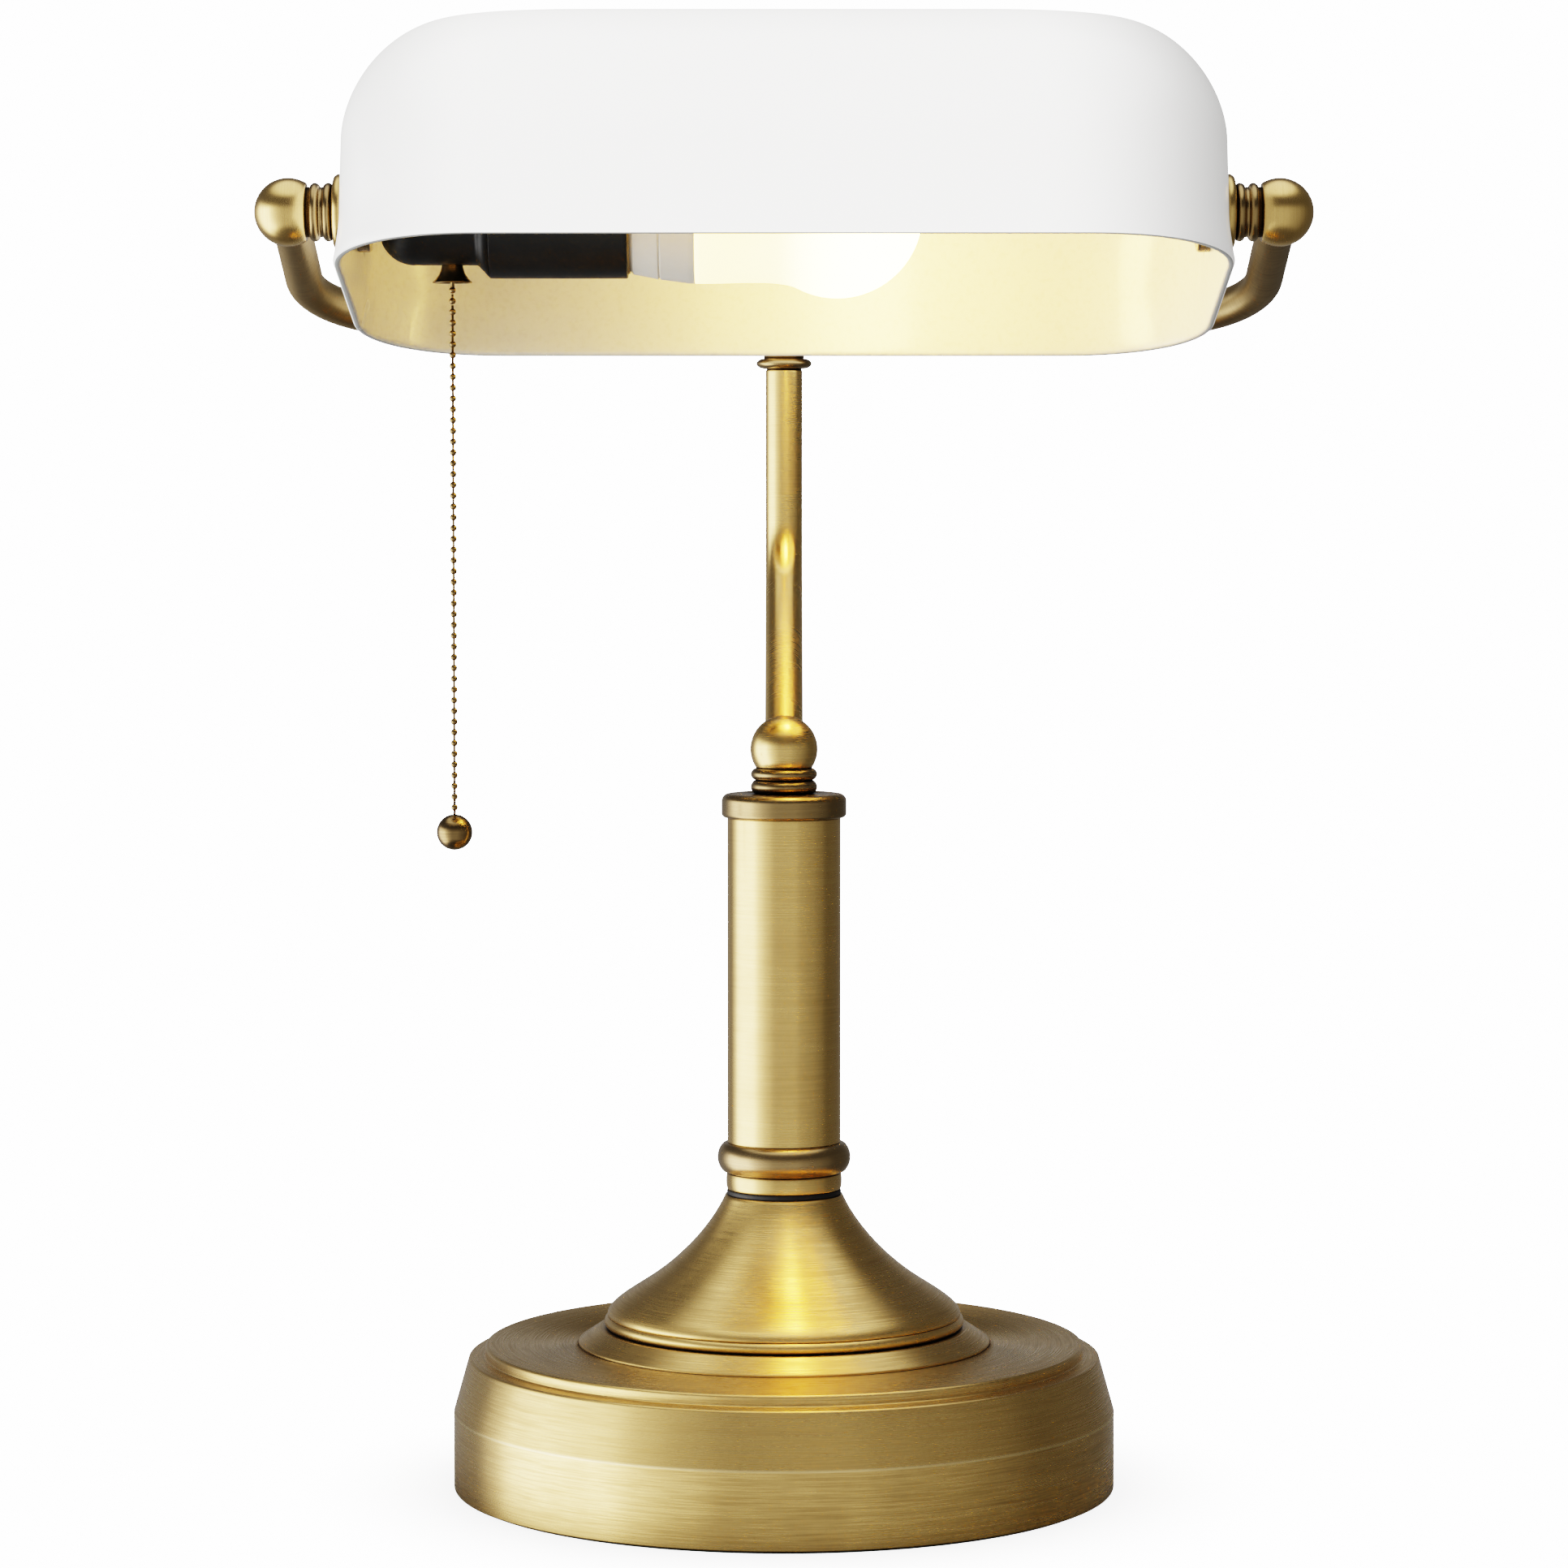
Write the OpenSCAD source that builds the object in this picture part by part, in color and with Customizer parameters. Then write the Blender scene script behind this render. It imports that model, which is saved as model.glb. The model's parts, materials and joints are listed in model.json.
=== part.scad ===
// Banker desk lamp: round weighted base, column, swan-neck stem, yoke and a tilting glass shade.
// Millimetres. The origin is the centre of the footprint on the table, +Z is up,
// -Y is the front of the lamp and +X is the right-hand side seen from the front.

/* [Base] */
// Radius of the base cover at its upright wall
base_r = 86.3; // [84:0.1:90]
// Height of the upright wall
base_wall_top = 20.6; // [18:0.1:22]
// Height of the flat top of the base
base_top = 38; // [37:0.5:39]
// Thickness of the spun sheet metal
sheet_t = 1.2; // [1:0.1:1.5]
// Radius of the cast weight inside the base
weight_r = 78; // [70:1:80]

/* [Column] */
// Radius of the column tube
column_r = 14.76; // [14:0.1:16]
// Height at which the column tube starts
column_bottom = 90.6; // [90:0.1:92]
// Height at which the column tube ends
column_top = 175.5; // [170:0.5:180]
// Radius of the ball on the column
ball_r = 8.76; // [8.5:0.1:9]
// Radius of the hollow threaded rod that clamps the lamp together
rod_r = 5; // [4.8:0.1:5]

/* [Stem and yoke] */
// Outer radius of the stem tube and of the yoke tube
tube_r = 4.95; // [4.6:0.05:5]
// Distance of the upright stretch of the stem behind the column
stem_y = 60.5; // [60:0.5:64]
// Lean of the lower stretch of the stem from the vertical
stem_lean = 52; // [50:1:54]
// Radius of the bend of the stem
stem_bend_r = 25; // [22:1:28]
// Corner radius of the yoke tube
yoke_corner_r = 27; // [24:1:28]
// Slope of the bowed rear stretch of the yoke where it meets the corner
yoke_bow = 9; // [7:0.5:10]
// Distance of each pivot ball from the middle of the lamp
knob_x = 126.75; // [126:0.25:128]

/* [Shade] */
// Half length of the glass shade at its rim
shade_half_len = 112.5; // [112.5:0.1:113]
// Half depth of the glass shade
shade_half_depth = 63; // [60:0.5:63]
// Depth of the rim below the pivot
rim_drop = 22.5; // [21:0.5:23]
// Height of the shade above the pivot
shade_rise = 50.1; // [46:0.5:52]
// Thickness of the glass
glass_t = 2; // [1.8:0.1:2.2]
// Tilt of the shade at rest, front edge up
shade_tilt = 12.4; // [0:0.2:20]

/* [Light] */
// Radius of the globe of the bulb
globe_r = 21.95; // [20:0.05:23]
// Number of beads on the pull chain
bead_count = 49; // [30:1:50]

/* [Hidden] */
$fn = 96;

brass = "#b9a066";
dark_bronze = "#4b3b2a";
gap = 0.05;                       // radial clearance of a turning fit
rod_clear = 0.2;                  // clearance of the clamped pieces round the rod

// Levels of the base and of the clamped stack, from the table up
pad_t = 1.8;
shell_foot = 0.6;
weight_top = 14;
recess_top = 11;
chamfer_r = base_r - 4;
chamfer_top = base_top - 3.2;
step_r = base_r - 8.2;
step_foot = base_top - 2.9;
foot_z = base_top + 4.2;
bell_z = foot_z + 3.1;
bell_top = 76.9;
gasket_top = 78.3;
neck_top = 82.8;
cap_top = column_top + 6.2;
ring_pitch = 3.55;
ring_h = 2.65;
rings_top = cap_top + 2 * ring_pitch - 0.5;
ball_z = rings_top + 5;
rod_bottom = 6.5;
rod_top = ball_z - 2.5;
rod_bore = 3.4;
grommet_z = 10;

// Stem
tube_bore = 3.7;
stem_len = (stem_y - stem_bend_r * (1 - cos(stem_lean))) / sin(stem_lean);
stem_upright_z = ball_z + stem_len * cos(stem_lean) + stem_bend_r * sin(stem_lean);
stem_top = 292.9;
nipple_r = 4.2;
nipple_bore = 3;
hub_r = 7;
hub_z = stem_top + 11;

// Pivot and yoke
pivot_y = -12.87;
pivot_z = 331.45;
yoke_slope = atan2(pivot_z - hub_z, stem_y - pivot_y);
yoke_reach = norm([stem_y - pivot_y, pivot_z - hub_z]);
corner_x = knob_x - yoke_corner_r;
bow_end_x = corner_x + yoke_corner_r * sin(yoke_bow);
bow_r = bow_end_x / sin(yoke_bow);
corner_s = yoke_reach - bow_r * (1 - cos(yoke_bow)) - yoke_corner_r * cos(yoke_bow);
tube_inset = 4.6;                 // the yoke tubes start this far from the middle of the hub
arm_start = 6.7;                  // the arms end this far from the pivot axis
pivot_r = 4.75;
knob_cut = knob_x - 4.65;
flange_x = 112;
flange_t = 3.1;

// Shade: its ends stand at end_x, flare to shade_half_len at the rim and round off above end_w
end_x = 110.95;
flare_w = -10;
end_w = 10.6;
end_power = 1.75;
ridge_half = 77;
side_w = -8;
side_power = 2.1;
corner_len = 38;
corner_share = 0.54;              // share of the half depth that the plan corners take
corner_power = 2.2;
hole_r = 5.6;

// Socket, switch and bulb, along the pivot axis; x grows to the right
cap_x = -103.5;
cap_r = 13.53;
cap_round = 9;
cone_x = -78.3;
body_x = -75.1;
body_r = 16.9;
body_end = -39.9;
socket_wall = 1;
bell_x = -84.87;
globe_x = 13.53;
thread_r = 13;

// Pull chain
bead_r = 0.86;
bead_pitch = 2.763;
first_bead_z = pivot_z - 19.86;
chain_wire_r = 0.3;
pull_ball_r = 4.61;
last_bead_z = first_bead_z - (bead_count - 1) * bead_pitch;
pull_ball_z = last_bead_z - 6.45;

// ---------------------------------------------------------------- shared shapes

function bezier(a, b, c, d, steps) = [for (i = [0:steps]) let (t = i / steps, s = 1 - t)
    s * s * s * a + 3 * s * s * t * b + 3 * s * t * t * c + t * t * t * d];

function reversed(list) = [for (i = [len(list) - 1:-1:0]) list[i]];

// A ring with a rounded rim, standing on z0, with a round bore
module bulged_ring(z0, z1, r_end, r_mid, bore, steps = 12) {
    rim = [for (i = [0:steps]) let (t = i / steps)
        [r_end + (r_mid - r_end) * pow(sin(180 * t), 0.6), z0 + (z1 - z0) * t]];
    rotate_extrude() polygon(concat([[bore, z0]], rim, [[bore, z1]]));
}

module pipe(r_out, r_in, z0, z1) {
    difference() {
        translate([0, 0, z0]) cylinder(r = r_out, h = z1 - z0);
        translate([0, 0, z0 - 1]) cylinder(r = r_in, h = z1 - z0 + 2);
    }
}

// Turns a shape made along +Z so that it lies along the pivot axis towards +X
module along_pivot() {
    translate([0, pivot_y, pivot_z]) rotate([0, 90, 0]) children();
}

module left_side() {
    mirror([1, 0, 0]) children();
}

// ---------------------------------------------------------------- base

module base_pad() {
    color("#2f3a2c") cylinder(r = base_r - sheet_t - 0.5, h = pad_t);
}

module base_weight() {
    slot_w = 8;
    slot_top = 8.5;
    recess_r = 18;
    color("#4a4a4c") difference() {
        translate([0, 0, pad_t]) cylinder(r = weight_r, h = weight_top - pad_t);
        cylinder(r = rod_r + rod_clear, h = weight_top + 1);
        cylinder(r = recess_r, h = recess_top);
        translate([-slot_w / 2, 0, 0]) cube([slot_w, weight_r + 1, slot_top]);
    }
}

module base_shell() {
    outer = [[base_r, shell_foot], [base_r, base_wall_top], [chamfer_r, chamfer_top], [step_r, step_foot],
        [step_r, base_top], [rod_r + rod_clear, base_top]];
    inner = [[rod_r + rod_clear, base_top - sheet_t], [step_r - sheet_t, base_top - sheet_t],
        [step_r - sheet_t, step_foot - sheet_t], [chamfer_r - sheet_t * 0.8, chamfer_top - sheet_t],
        [base_r - sheet_t, base_wall_top - 0.3], [base_r - sheet_t, shell_foot]];
    color(brass) difference() {
        rotate_extrude() polygon(concat(outer, inner));
        translate([0, base_r - 5, grommet_z]) rotate([-90, 0, 0]) cylinder(r = 4.2, h = 10);
    }
}

// Bushing that lines the cord hole at the back of the base, flush with the cover
module cord_grommet() {
    color("#1d1c1e") translate([0, 0, grommet_z]) rotate([-90, 0, 0]) difference() {
        union() {
            translate([0, 0, base_r - 3.2]) cylinder(r = 5.8, h = 1.8);
            translate([0, 0, base_r - 3.2]) cylinder(r = 4.1, h = 3.1);
        }
        translate([0, 0, base_r - 4]) cylinder(r = 2.7, h = 5);
    }
}

module rod_spacer() {
    color("#9a9a98") pipe(8, rod_r + rod_clear, weight_top, base_top - sheet_t);
}

module step_ring() {
    color(brass) rotate_extrude() polygon([[40, base_top], [53.8, base_top], [53.8, base_top + 0.5],
        [48.2, foot_z], [40, foot_z]]);
}

module foot_ring() {
    color(brass) bulged_ring(foot_z, bell_z, 46, 46.95, 41);
}

module bell() {
    throat = [15.3, bell_top];
    bend = [37, 53.5];
    lip = [46.5, bell_z];
    outer = concat(bezier(lip, [46.5, bell_z + 2.2], [42.3, 50.1], bend, 8),
        bezier(bend, [27.2, 59.6], [19, 68.6], throat, 12));
    inner = [for (p = reversed(outer)) [p[0] - 1.3, max(bell_z, p[1] - 0.8)]];
    color(brass) rotate_extrude() polygon(concat(outer, [[rod_r + rod_clear, bell_top],
        [rod_r + rod_clear, bell_top - 0.8]], inner));
}

// ---------------------------------------------------------------- column

module gasket_ring() {
    color("#1e1a1b") bulged_ring(bell_top, gasket_top, 14.6, 14.92, rod_r + rod_clear, 6);
}

module neck_ring() {
    color(brass) bulged_ring(gasket_top, neck_top, 14.85, 15.1, rod_r + rod_clear);
}

module lower_collar() {
    color(dark_bronze) {
        bulged_ring(neck_top, column_bottom, 15.4, 17.37, rod_r + rod_clear);
        pipe(column_r - 1.1, rod_r + rod_clear, column_bottom - 0.5, column_bottom + 3);
    }
}

module column_tube() {
    color(brass) pipe(column_r, column_r - 1, column_bottom, column_top);
}

module column_cap() {
    color(brass) {
        bulged_ring(column_top, cap_top, 14.9, 16.27, rod_r + rod_clear);
        pipe(column_r - 1.1, rod_r + rod_clear, column_top - 3, column_top + 0.5);
    }
}

// One bead ring of the column with the groove above it
module bead_ring(z0, groove_h) {
    bulged_ring(z0, z0 + ring_h, 7.4, 8.66, rod_r + rod_clear);
    pipe(7.4, rod_r + rod_clear, z0 + ring_h - 0.2, z0 + ring_h + groove_h);
}

module ring_lower() {
    color(brass) bead_ring(cap_top, ring_pitch - ring_h);
}

module ring_upper() {
    color(brass) bead_ring(cap_top + ring_pitch, rings_top - cap_top - ring_pitch - ring_h);
}

module along_stem() {
    translate([0, 0, ball_z]) rotate([-stem_lean, 0, 0]) children();
}

module column_ball() {
    color(brass) difference() {
        translate([0, 0, ball_z]) sphere(r = ball_r);
        translate([0, 0, rings_top - 10]) cylinder(r = 20, h = 10);
        translate([0, 0, rings_top - 1]) cylinder(r = rod_r + gap, h = ball_z - rings_top + 1);
        along_stem() cylinder(r = tube_r + gap, h = 20);
    }
}

module threaded_rod() {
    color("#c9b57a") pipe(rod_r, rod_bore, rod_bottom, rod_top);
}

module rod_nut() {
    color("#a8a8a6") difference() {
        translate([0, 0, recess_top - 4]) cylinder(r = 8.7, h = 3, $fn = 6);
        cylinder(r = rod_r + gap, h = 30);
    }
}

module lock_washer() {
    color("#a8a8a6") pipe(9, rod_r + rod_clear, recess_top - 1, recess_top);
}

// ---------------------------------------------------------------- stem

// Ring of tube wall, for the bends
module tube_ring(r_out, r_in) {
    difference() {
        circle(r = r_out, $fn = 48);
        circle(r = r_in, $fn = 48);
    }
}

// A straight lower stretch, one bend and an upright stretch, each a hair clear of the next
module stem_tube() {
    chamfer = 0.7;
    hair = 0.02;
    color(brass) {
        along_stem() pipe(tube_r, tube_bore, 3.5, stem_len - hair);
        translate([0, stem_y - stem_bend_r, stem_upright_z]) rotate([90, 0, 90]) rotate([0, 0, -stem_lean])
            rotate_extrude(angle = stem_lean) translate([stem_bend_r, 0]) tube_ring(tube_r, tube_bore);
        translate([0, stem_y, 0]) rotate_extrude() polygon([[tube_bore, stem_upright_z + hair],
            [tube_r, stem_upright_z + hair], [tube_r, stem_top - chamfer], [tube_r - chamfer, stem_top],
            [nipple_r + gap, stem_top], [nipple_r + gap, stem_top - 11], [tube_bore, stem_top - 11]]);
    }
}

module stem_nipple() {
    color("#c9b57a") translate([0, stem_y, 0]) pipe(nipple_r, nipple_bore, stem_top - 10, hub_z - 5.2);
}

module stem_ring() {
    ring_z = stem_top + 0.3;
    color(brass) translate([0, stem_y, 0]) {
        pipe(4.7, nipple_r + gap, stem_top, ring_z + 0.5);
        bulged_ring(ring_z, ring_z + 2.7, 6, 7.49, nipple_r + gap);
    }
}

module yoke_hub() {
    foot = stem_top + 3;
    color(brass) difference() {
        union() {
            translate([0, stem_y, hub_z]) sphere(r = hub_r);
            translate([0, stem_y, foot]) cylinder(r = 5.4, h = hub_z - foot);
        }
        translate([-hub_r - 1, stem_y, hub_z]) rotate([0, 90, 0]) cylinder(r = tube_r + gap, h = 2 * hub_r + 2);
        translate([0, stem_y, foot - 1]) cylinder(r = nipple_r + gap, h = hub_z - foot);
    }
}

// ---------------------------------------------------------------- yoke

// The yoke lies in a plane through the pivot axis: X across, Y back and down from the pivot
module in_yoke_plane() {
    translate([0, pivot_y, pivot_z]) rotate([-yoke_slope, 0, 0]) children();
}

// A shallow bow from the hub, a corner and a straight arm, end to end
module yoke_tube() {
    inset_angle = asin(tube_inset / bow_r);
    in_yoke_plane() {
        translate([0, yoke_reach - bow_r, 0]) rotate([0, 0, 90 - yoke_bow])
            rotate_extrude(angle = yoke_bow - inset_angle, $fn = 360)
            translate([bow_r, 0]) tube_ring(tube_r, tube_bore);
        translate([corner_x, corner_s, 0]) rotate_extrude(angle = 90 - yoke_bow)
            translate([yoke_corner_r, 0]) tube_ring(tube_r, tube_bore);
        translate([knob_x, corner_s, 0]) rotate([90, 0, 0])
            pipe(tube_r, tube_bore, 0, corner_s - arm_start);
    }
}

module yoke_tube_left() {
    color(brass) left_side() yoke_tube();
}

module yoke_tube_right() {
    color(brass) yoke_tube();
}

module knob_ball() {
    difference() {
        along_pivot() translate([0, 0, knob_x]) sphere(r = ball_r);
        along_pivot() translate([0, 0, knob_cut - 10]) cylinder(r = 20, h = 10);
        along_pivot() translate([0, 0, knob_cut - 1]) cylinder(r = pivot_r + gap, h = knob_x - knob_cut + 4.6);
        in_yoke_plane() translate([knob_x, 0, 0]) rotate([-90, 0, 0]) cylinder(r = tube_r + gap, h = 20);
    }
}

module knob_ball_left() {
    color(brass) left_side() knob_ball();
}

module knob_ball_right() {
    color(brass) knob_ball();
}

// Turned spacer with two bead rings between the flange and the pivot ball
module knob_rings() {
    flange_end = flange_x + flange_t;
    along_pivot() {
        pipe(6.6, pivot_r + gap, flange_end, knob_cut);
        for (x = [flange_end + 0.1, flange_end + 3.5]) bulged_ring(x, x + 2.6, 6.6, 7.5, pivot_r + gap);
    }
}

module knob_rings_left() {
    color(brass) left_side() knob_rings();
}

module knob_rings_right() {
    color(brass) knob_rings();
}

module flange() {
    along_pivot() bulged_ring(flange_x, flange_x + flange_t, 8.9, 9.75, pivot_r + gap);
}

module flange_left() {
    color(brass) left_side() flange();
}

module flange_right() {
    color(brass) flange();
}

module pivot_nipple(inner_x) {
    along_pivot() pipe(pivot_r, nipple_bore, inner_x, knob_x - 1.7);
}

module pivot_nipple_left() {
    color("#c9b57a") left_side() pivot_nipple(-cap_x - 2.6);
}

module pivot_nipple_right() {
    color("#c9b57a") pivot_nipple(104.2);
}

module inner_nut() {
    face = end_x - glass_t - gap;
    along_pivot() bulged_ring(face - 3.4, face, 9.6, 10.2, pivot_r + gap);
}

module inner_nut_left() {
    color("#8d8b86") left_side() inner_nut();
}

module inner_nut_right() {
    color("#8d8b86") inner_nut();
}

// ---------------------------------------------------------------- shade

// Half length and half depth of the shade at height w above the pivot, inset by t
function shade_length(w, t) = let (u = max(0, w - end_w) / (shade_rise - t - end_w),
    flare = max(0, flare_w - w) / (rim_drop + flare_w), ridge = ridge_half - t)
    ridge + (end_x - t - ridge) * pow(max(0, 1 - pow(u, end_power)), 1 / end_power)
    + (shade_half_len - end_x) * pow(flare, 1.5);
function shade_depth(w, t) = let (u = max(0, w - side_w) / (shade_rise - t - side_w))
    (shade_half_depth - t) * pow(max(0, 1 - pow(u, side_power)), 1 / side_power);

function corner_power_of(v) = sign(v) * pow(abs(v), 2 / corner_power);
function quadrant_signs(k) = [[1, 1], [-1, 1], [-1, -1], [1, -1]][k];

// One level of the shade: a rectangle whose corners are superellipses
corner_steps = 9;
ring_points = 4 * (corner_steps + 1);
function shade_ring(w, t) = let (l = shade_length(w, t), d = shade_depth(w, t), share = corner_share)
    [for (k = [0:3]) for (i = [0:corner_steps]) let (sg = quadrant_signs(k),
        a = 90 * (k % 2 == 0 ? i : corner_steps - i) / corner_steps)
        [sg[0] * (l - corner_len + corner_len * corner_power_of(cos(a))),
         sg[1] * d * (1 - share + share * corner_power_of(sin(a))), w]];

// Heights of the levels: straight part first, then closer together towards the ridge
function shade_levels(t) = let (top = shade_rise - t) concat([-rim_drop, -18, -14, flare_w, 0, end_w],
    [for (k = [1:8]) end_w + (top - end_w) * sin(k * 10.6)]);

module shade_glass() {
    outer = [for (w = shade_levels(0)) each shade_ring(w, 0)];
    inner = [for (w = shade_levels(glass_t)) each shade_ring(w, glass_t)];
    rows = len(shade_levels(0));
    n = ring_points;
    m = rows * n;
    points = concat(outer, inner, [[0, 0, shade_rise], [0, 0, shade_rise - glass_t]]);
    sides = [for (j = [0:rows - 2]) for (i = [0:n - 1]) let (a = j * n + i, b = j * n + (i + 1) % n)
        each [[a, a + n, b], [b, a + n, b + n], [m + a, m + b, m + a + n], [m + b, m + b + n, m + a + n]]];
    caps = [for (i = [0:n - 1]) let (a = m - n + i, b = m - n + (i + 1) % n)
        each [[a, 2 * m, b], [m + a, m + b, 2 * m + 1]]];
    rim = [for (i = [0:n - 1]) let (b = (i + 1) % n) each [[i, b, m + i], [b, m + b, m + i]]];
    polyhedron(points = points, faces = concat(sides, caps, rim), convexity = 4);
}

module tilted_shade() {
    translate([0, pivot_y, pivot_z]) rotate([-shade_tilt, 0, 0]) children();
}

module shade() {
    color("#f0f0ee") tilted_shade() difference() {
        shade_glass();
        for (side = [-1, 1]) rotate([0, side * 90, 0]) translate([0, 0, 90]) cylinder(r = hole_r, h = 40);
    }
}

// Rubber washer between flange and glass, with the sleeve that lines the hole in the glass
module washer() {
    along_pivot() {
        pipe(9.2, pivot_r + gap, end_x + 0.03, flange_x - gap);
        pipe(hole_r - gap, pivot_r + gap, end_x - glass_t + 0.2, end_x + 0.5);
    }
}

module washer_left() {
    color("#26221f") left_side() washer();
}

module washer_right() {
    color("#26221f") washer();
}

// ---------------------------------------------------------------- socket

module socket_cap() {
    bore = pivot_r + gap;
    round_in = cap_round - socket_wall;
    outer = concat([[bore, cap_x]], [for (a = [270:10:360])
        [cap_r - cap_round + cap_round * cos(a), cap_x + cap_round + cap_round * sin(a)]],
        [[cap_r, cone_x], [body_r, body_x]]);
    inner = concat([[body_r - socket_wall, body_x], [cap_r - socket_wall, cone_x]], [for (a = [360:-10:270])
        [cap_r - cap_round + round_in * cos(a), cap_x + cap_round + round_in * sin(a)]],
        [[bore, cap_x + socket_wall]]);
    color("#1c1b1a") difference() {
        along_pivot() rotate_extrude() polygon(concat(outer, inner));
        translate([bell_x, pivot_y, pivot_z - 20]) cylinder(r = 2.3, h = 14);
    }
}

module socket_body() {
    color("#1c1b1a") along_pivot() pipe(body_r, body_r - socket_wall, body_x, body_end);
}

module socket_insulator() {
    color("#b59a6a") along_pivot() pipe(body_r - socket_wall - 0.2, body_r - socket_wall - 1, body_x, body_end + 0.5);
}

// Moulded block that carries the switch and the contacts
module switch_block() {
    color("#57402e") difference() {
        along_pivot() union() {
            translate([0, 0, -98]) cylinder(r = 10.5, h = 22.9);
            translate([0, 0, -75.1]) cylinder(r = 14.5, h = 5);
        }
        translate([bell_x, pivot_y, pivot_z - 16]) cylinder(r = 1.6, h = 15);
        along_pivot() translate([0, 0, -99]) cylinder(r = 4, h = 4);
    }
}

module screw_shell() {
    color("#c9a95c") along_pivot() difference() {
        translate([0, 0, -70.1]) cylinder(r = thread_r + 0.7, h = 28);
        translate([0, 0, -69.5]) cylinder(r = thread_r + 0.3, h = 28);
        translate([0, 0, -71]) cylinder(r = 6, h = 5);
    }
}

module centre_contact() {
    color("#c9a95c") along_pivot() translate([0, 0, -70.1]) cylinder(r = 3.5, h = 5);
}

module chain_bell() {
    top = pivot_z - cap_r + 0.9;
    color("#d0a85a") translate([bell_x, pivot_y, 0]) rotate_extrude() polygon([[1.5, top], [2.2, top],
        [2.2, top - 1.4], [2.8, top - 1.6], [3.2, top - 3], [5.1, top - 5.4], [4.6, top - 5.4], [2.4, top - 3],
        [1.5, top - 2.2]]);
}

// ---------------------------------------------------------------- pull chain

// Places a piece of the chain at bead number k, counted from the top
module at_bead(k) {
    translate([bell_x, pivot_y, first_bead_z - k * bead_pitch]) children();
}

module pull_lever() {
    lever_r = 0.8;
    color("#d0a85a") {
        at_bead(0) sphere(r = bead_r + 0.14, $fn = 24);
        at_bead(0) cylinder(r = lever_r, h = 9);
    }
}

// The short wire above a bead stops just clear of the bead above it
module bead_wire() {
    cylinder(r = chain_wire_r, h = bead_pitch - bead_r - 0.2, $fn = 16);
}

module chain_link() {
    color("#d0a85a") at_bead(1) {
        sphere(r = bead_r, $fn = 24);
        bead_wire();
    }
}

module pull_chain() {
    color("#d0a85a") {
        for (k = [2:bead_count - 1]) at_bead(k) sphere(r = bead_r, $fn = 24);
        at_bead(2) bead_wire();
        translate([bell_x, pivot_y, pull_ball_z + pull_ball_r - 1.5])
            cylinder(r = chain_wire_r, h = first_bead_z - 2 * bead_pitch - pull_ball_z - pull_ball_r + 1.5, $fn = 16);
    }
}

module pull_ball() {
    color("#d0a85a") translate([bell_x, pivot_y, pull_ball_z]) difference() {
        sphere(r = pull_ball_r);
        translate([0, 0, pull_ball_r - 2]) cylinder(r = chain_wire_r + gap, h = 4);
    }
}

// ---------------------------------------------------------------- bulb

module bulb_tip() {
    color("#8d8b86") along_pivot() translate([0, 0, -65]) cylinder(r1 = 3, r2 = 5, h = 3);
}

module bulb_cap() {
    cap_h = body_end + 0.3 + 62;
    color("#b8b6b0") along_pivot() difference() {
        translate([0, 0, -62]) cylinder(r = thread_r, h = cap_h);
        translate([0, 0, -60]) cylinder(r = thread_r - 1, h = cap_h);
    }
}

module bulb_collar() {
    seam_x = -31.8;
    end_x0 = body_end + 0.3;
    color("#c9c7c2") along_pivot() rotate_extrude() polygon([[11, -38], [11, end_x0], [14.6, end_x0],
        [15.9, end_x0 + 1.2], [17.1, seam_x - 0.3], [16.8, seam_x], [17.2, seam_x + 0.3], [18.2, -24.2], [18.2, -22.7],
        [15, -22.7], [15, -36.5], [11, -36.5]]);
}

// Globe of the bulb: a neck that widens into a sphere, one millimetre thick, open at the collar
module bulb_globe() {
    wall = 1;
    join_a = 118;
    join = [globe_r * sin(join_a), globe_x + globe_r * cos(join_a)];
    dome = [for (a = [join_a:-6.555:0]) [globe_r * sin(a), globe_x + globe_r * cos(a)]];
    neck = bezier([18.2, -22.7], [18.5, -16], join - 5 * [-cos(join_a), sin(join_a)], join, 6);
    outer = concat(neck, dome);
    inner = [for (p = reversed(outer)) let (d = norm([p[0], max(0, p[1] - globe_x)]))
        p[1] > globe_x ? [p[0] * (d - wall) / d, globe_x + (p[1] - globe_x) * (d - wall) / d] : [p[0] - wall, p[1]]];
    color("#fff6d0") along_pivot() rotate_extrude() polygon(concat(outer, inner));
}

// ---------------------------------------------------------------- lead inside the tubes

wire_r = 1.2;
wire_sides = 8;
function on_stem(d) = [0, d * sin(stem_lean), ball_z + d * cos(stem_lean)];
function on_stem_bend(a) = [0, stem_y - stem_bend_r + stem_bend_r * cos(a), stem_upright_z + stem_bend_r * sin(a)];
function yoke_point(x, s) = [x, pivot_y + s * cos(yoke_slope), pivot_z - s * sin(yoke_slope)];
function on_bow(a) = yoke_point(-bow_r * sin(a), yoke_reach - bow_r + bow_r * cos(a));
function on_corner(a) = yoke_point(-corner_x - yoke_corner_r * cos(a), corner_s + yoke_corner_r * sin(a));

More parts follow.
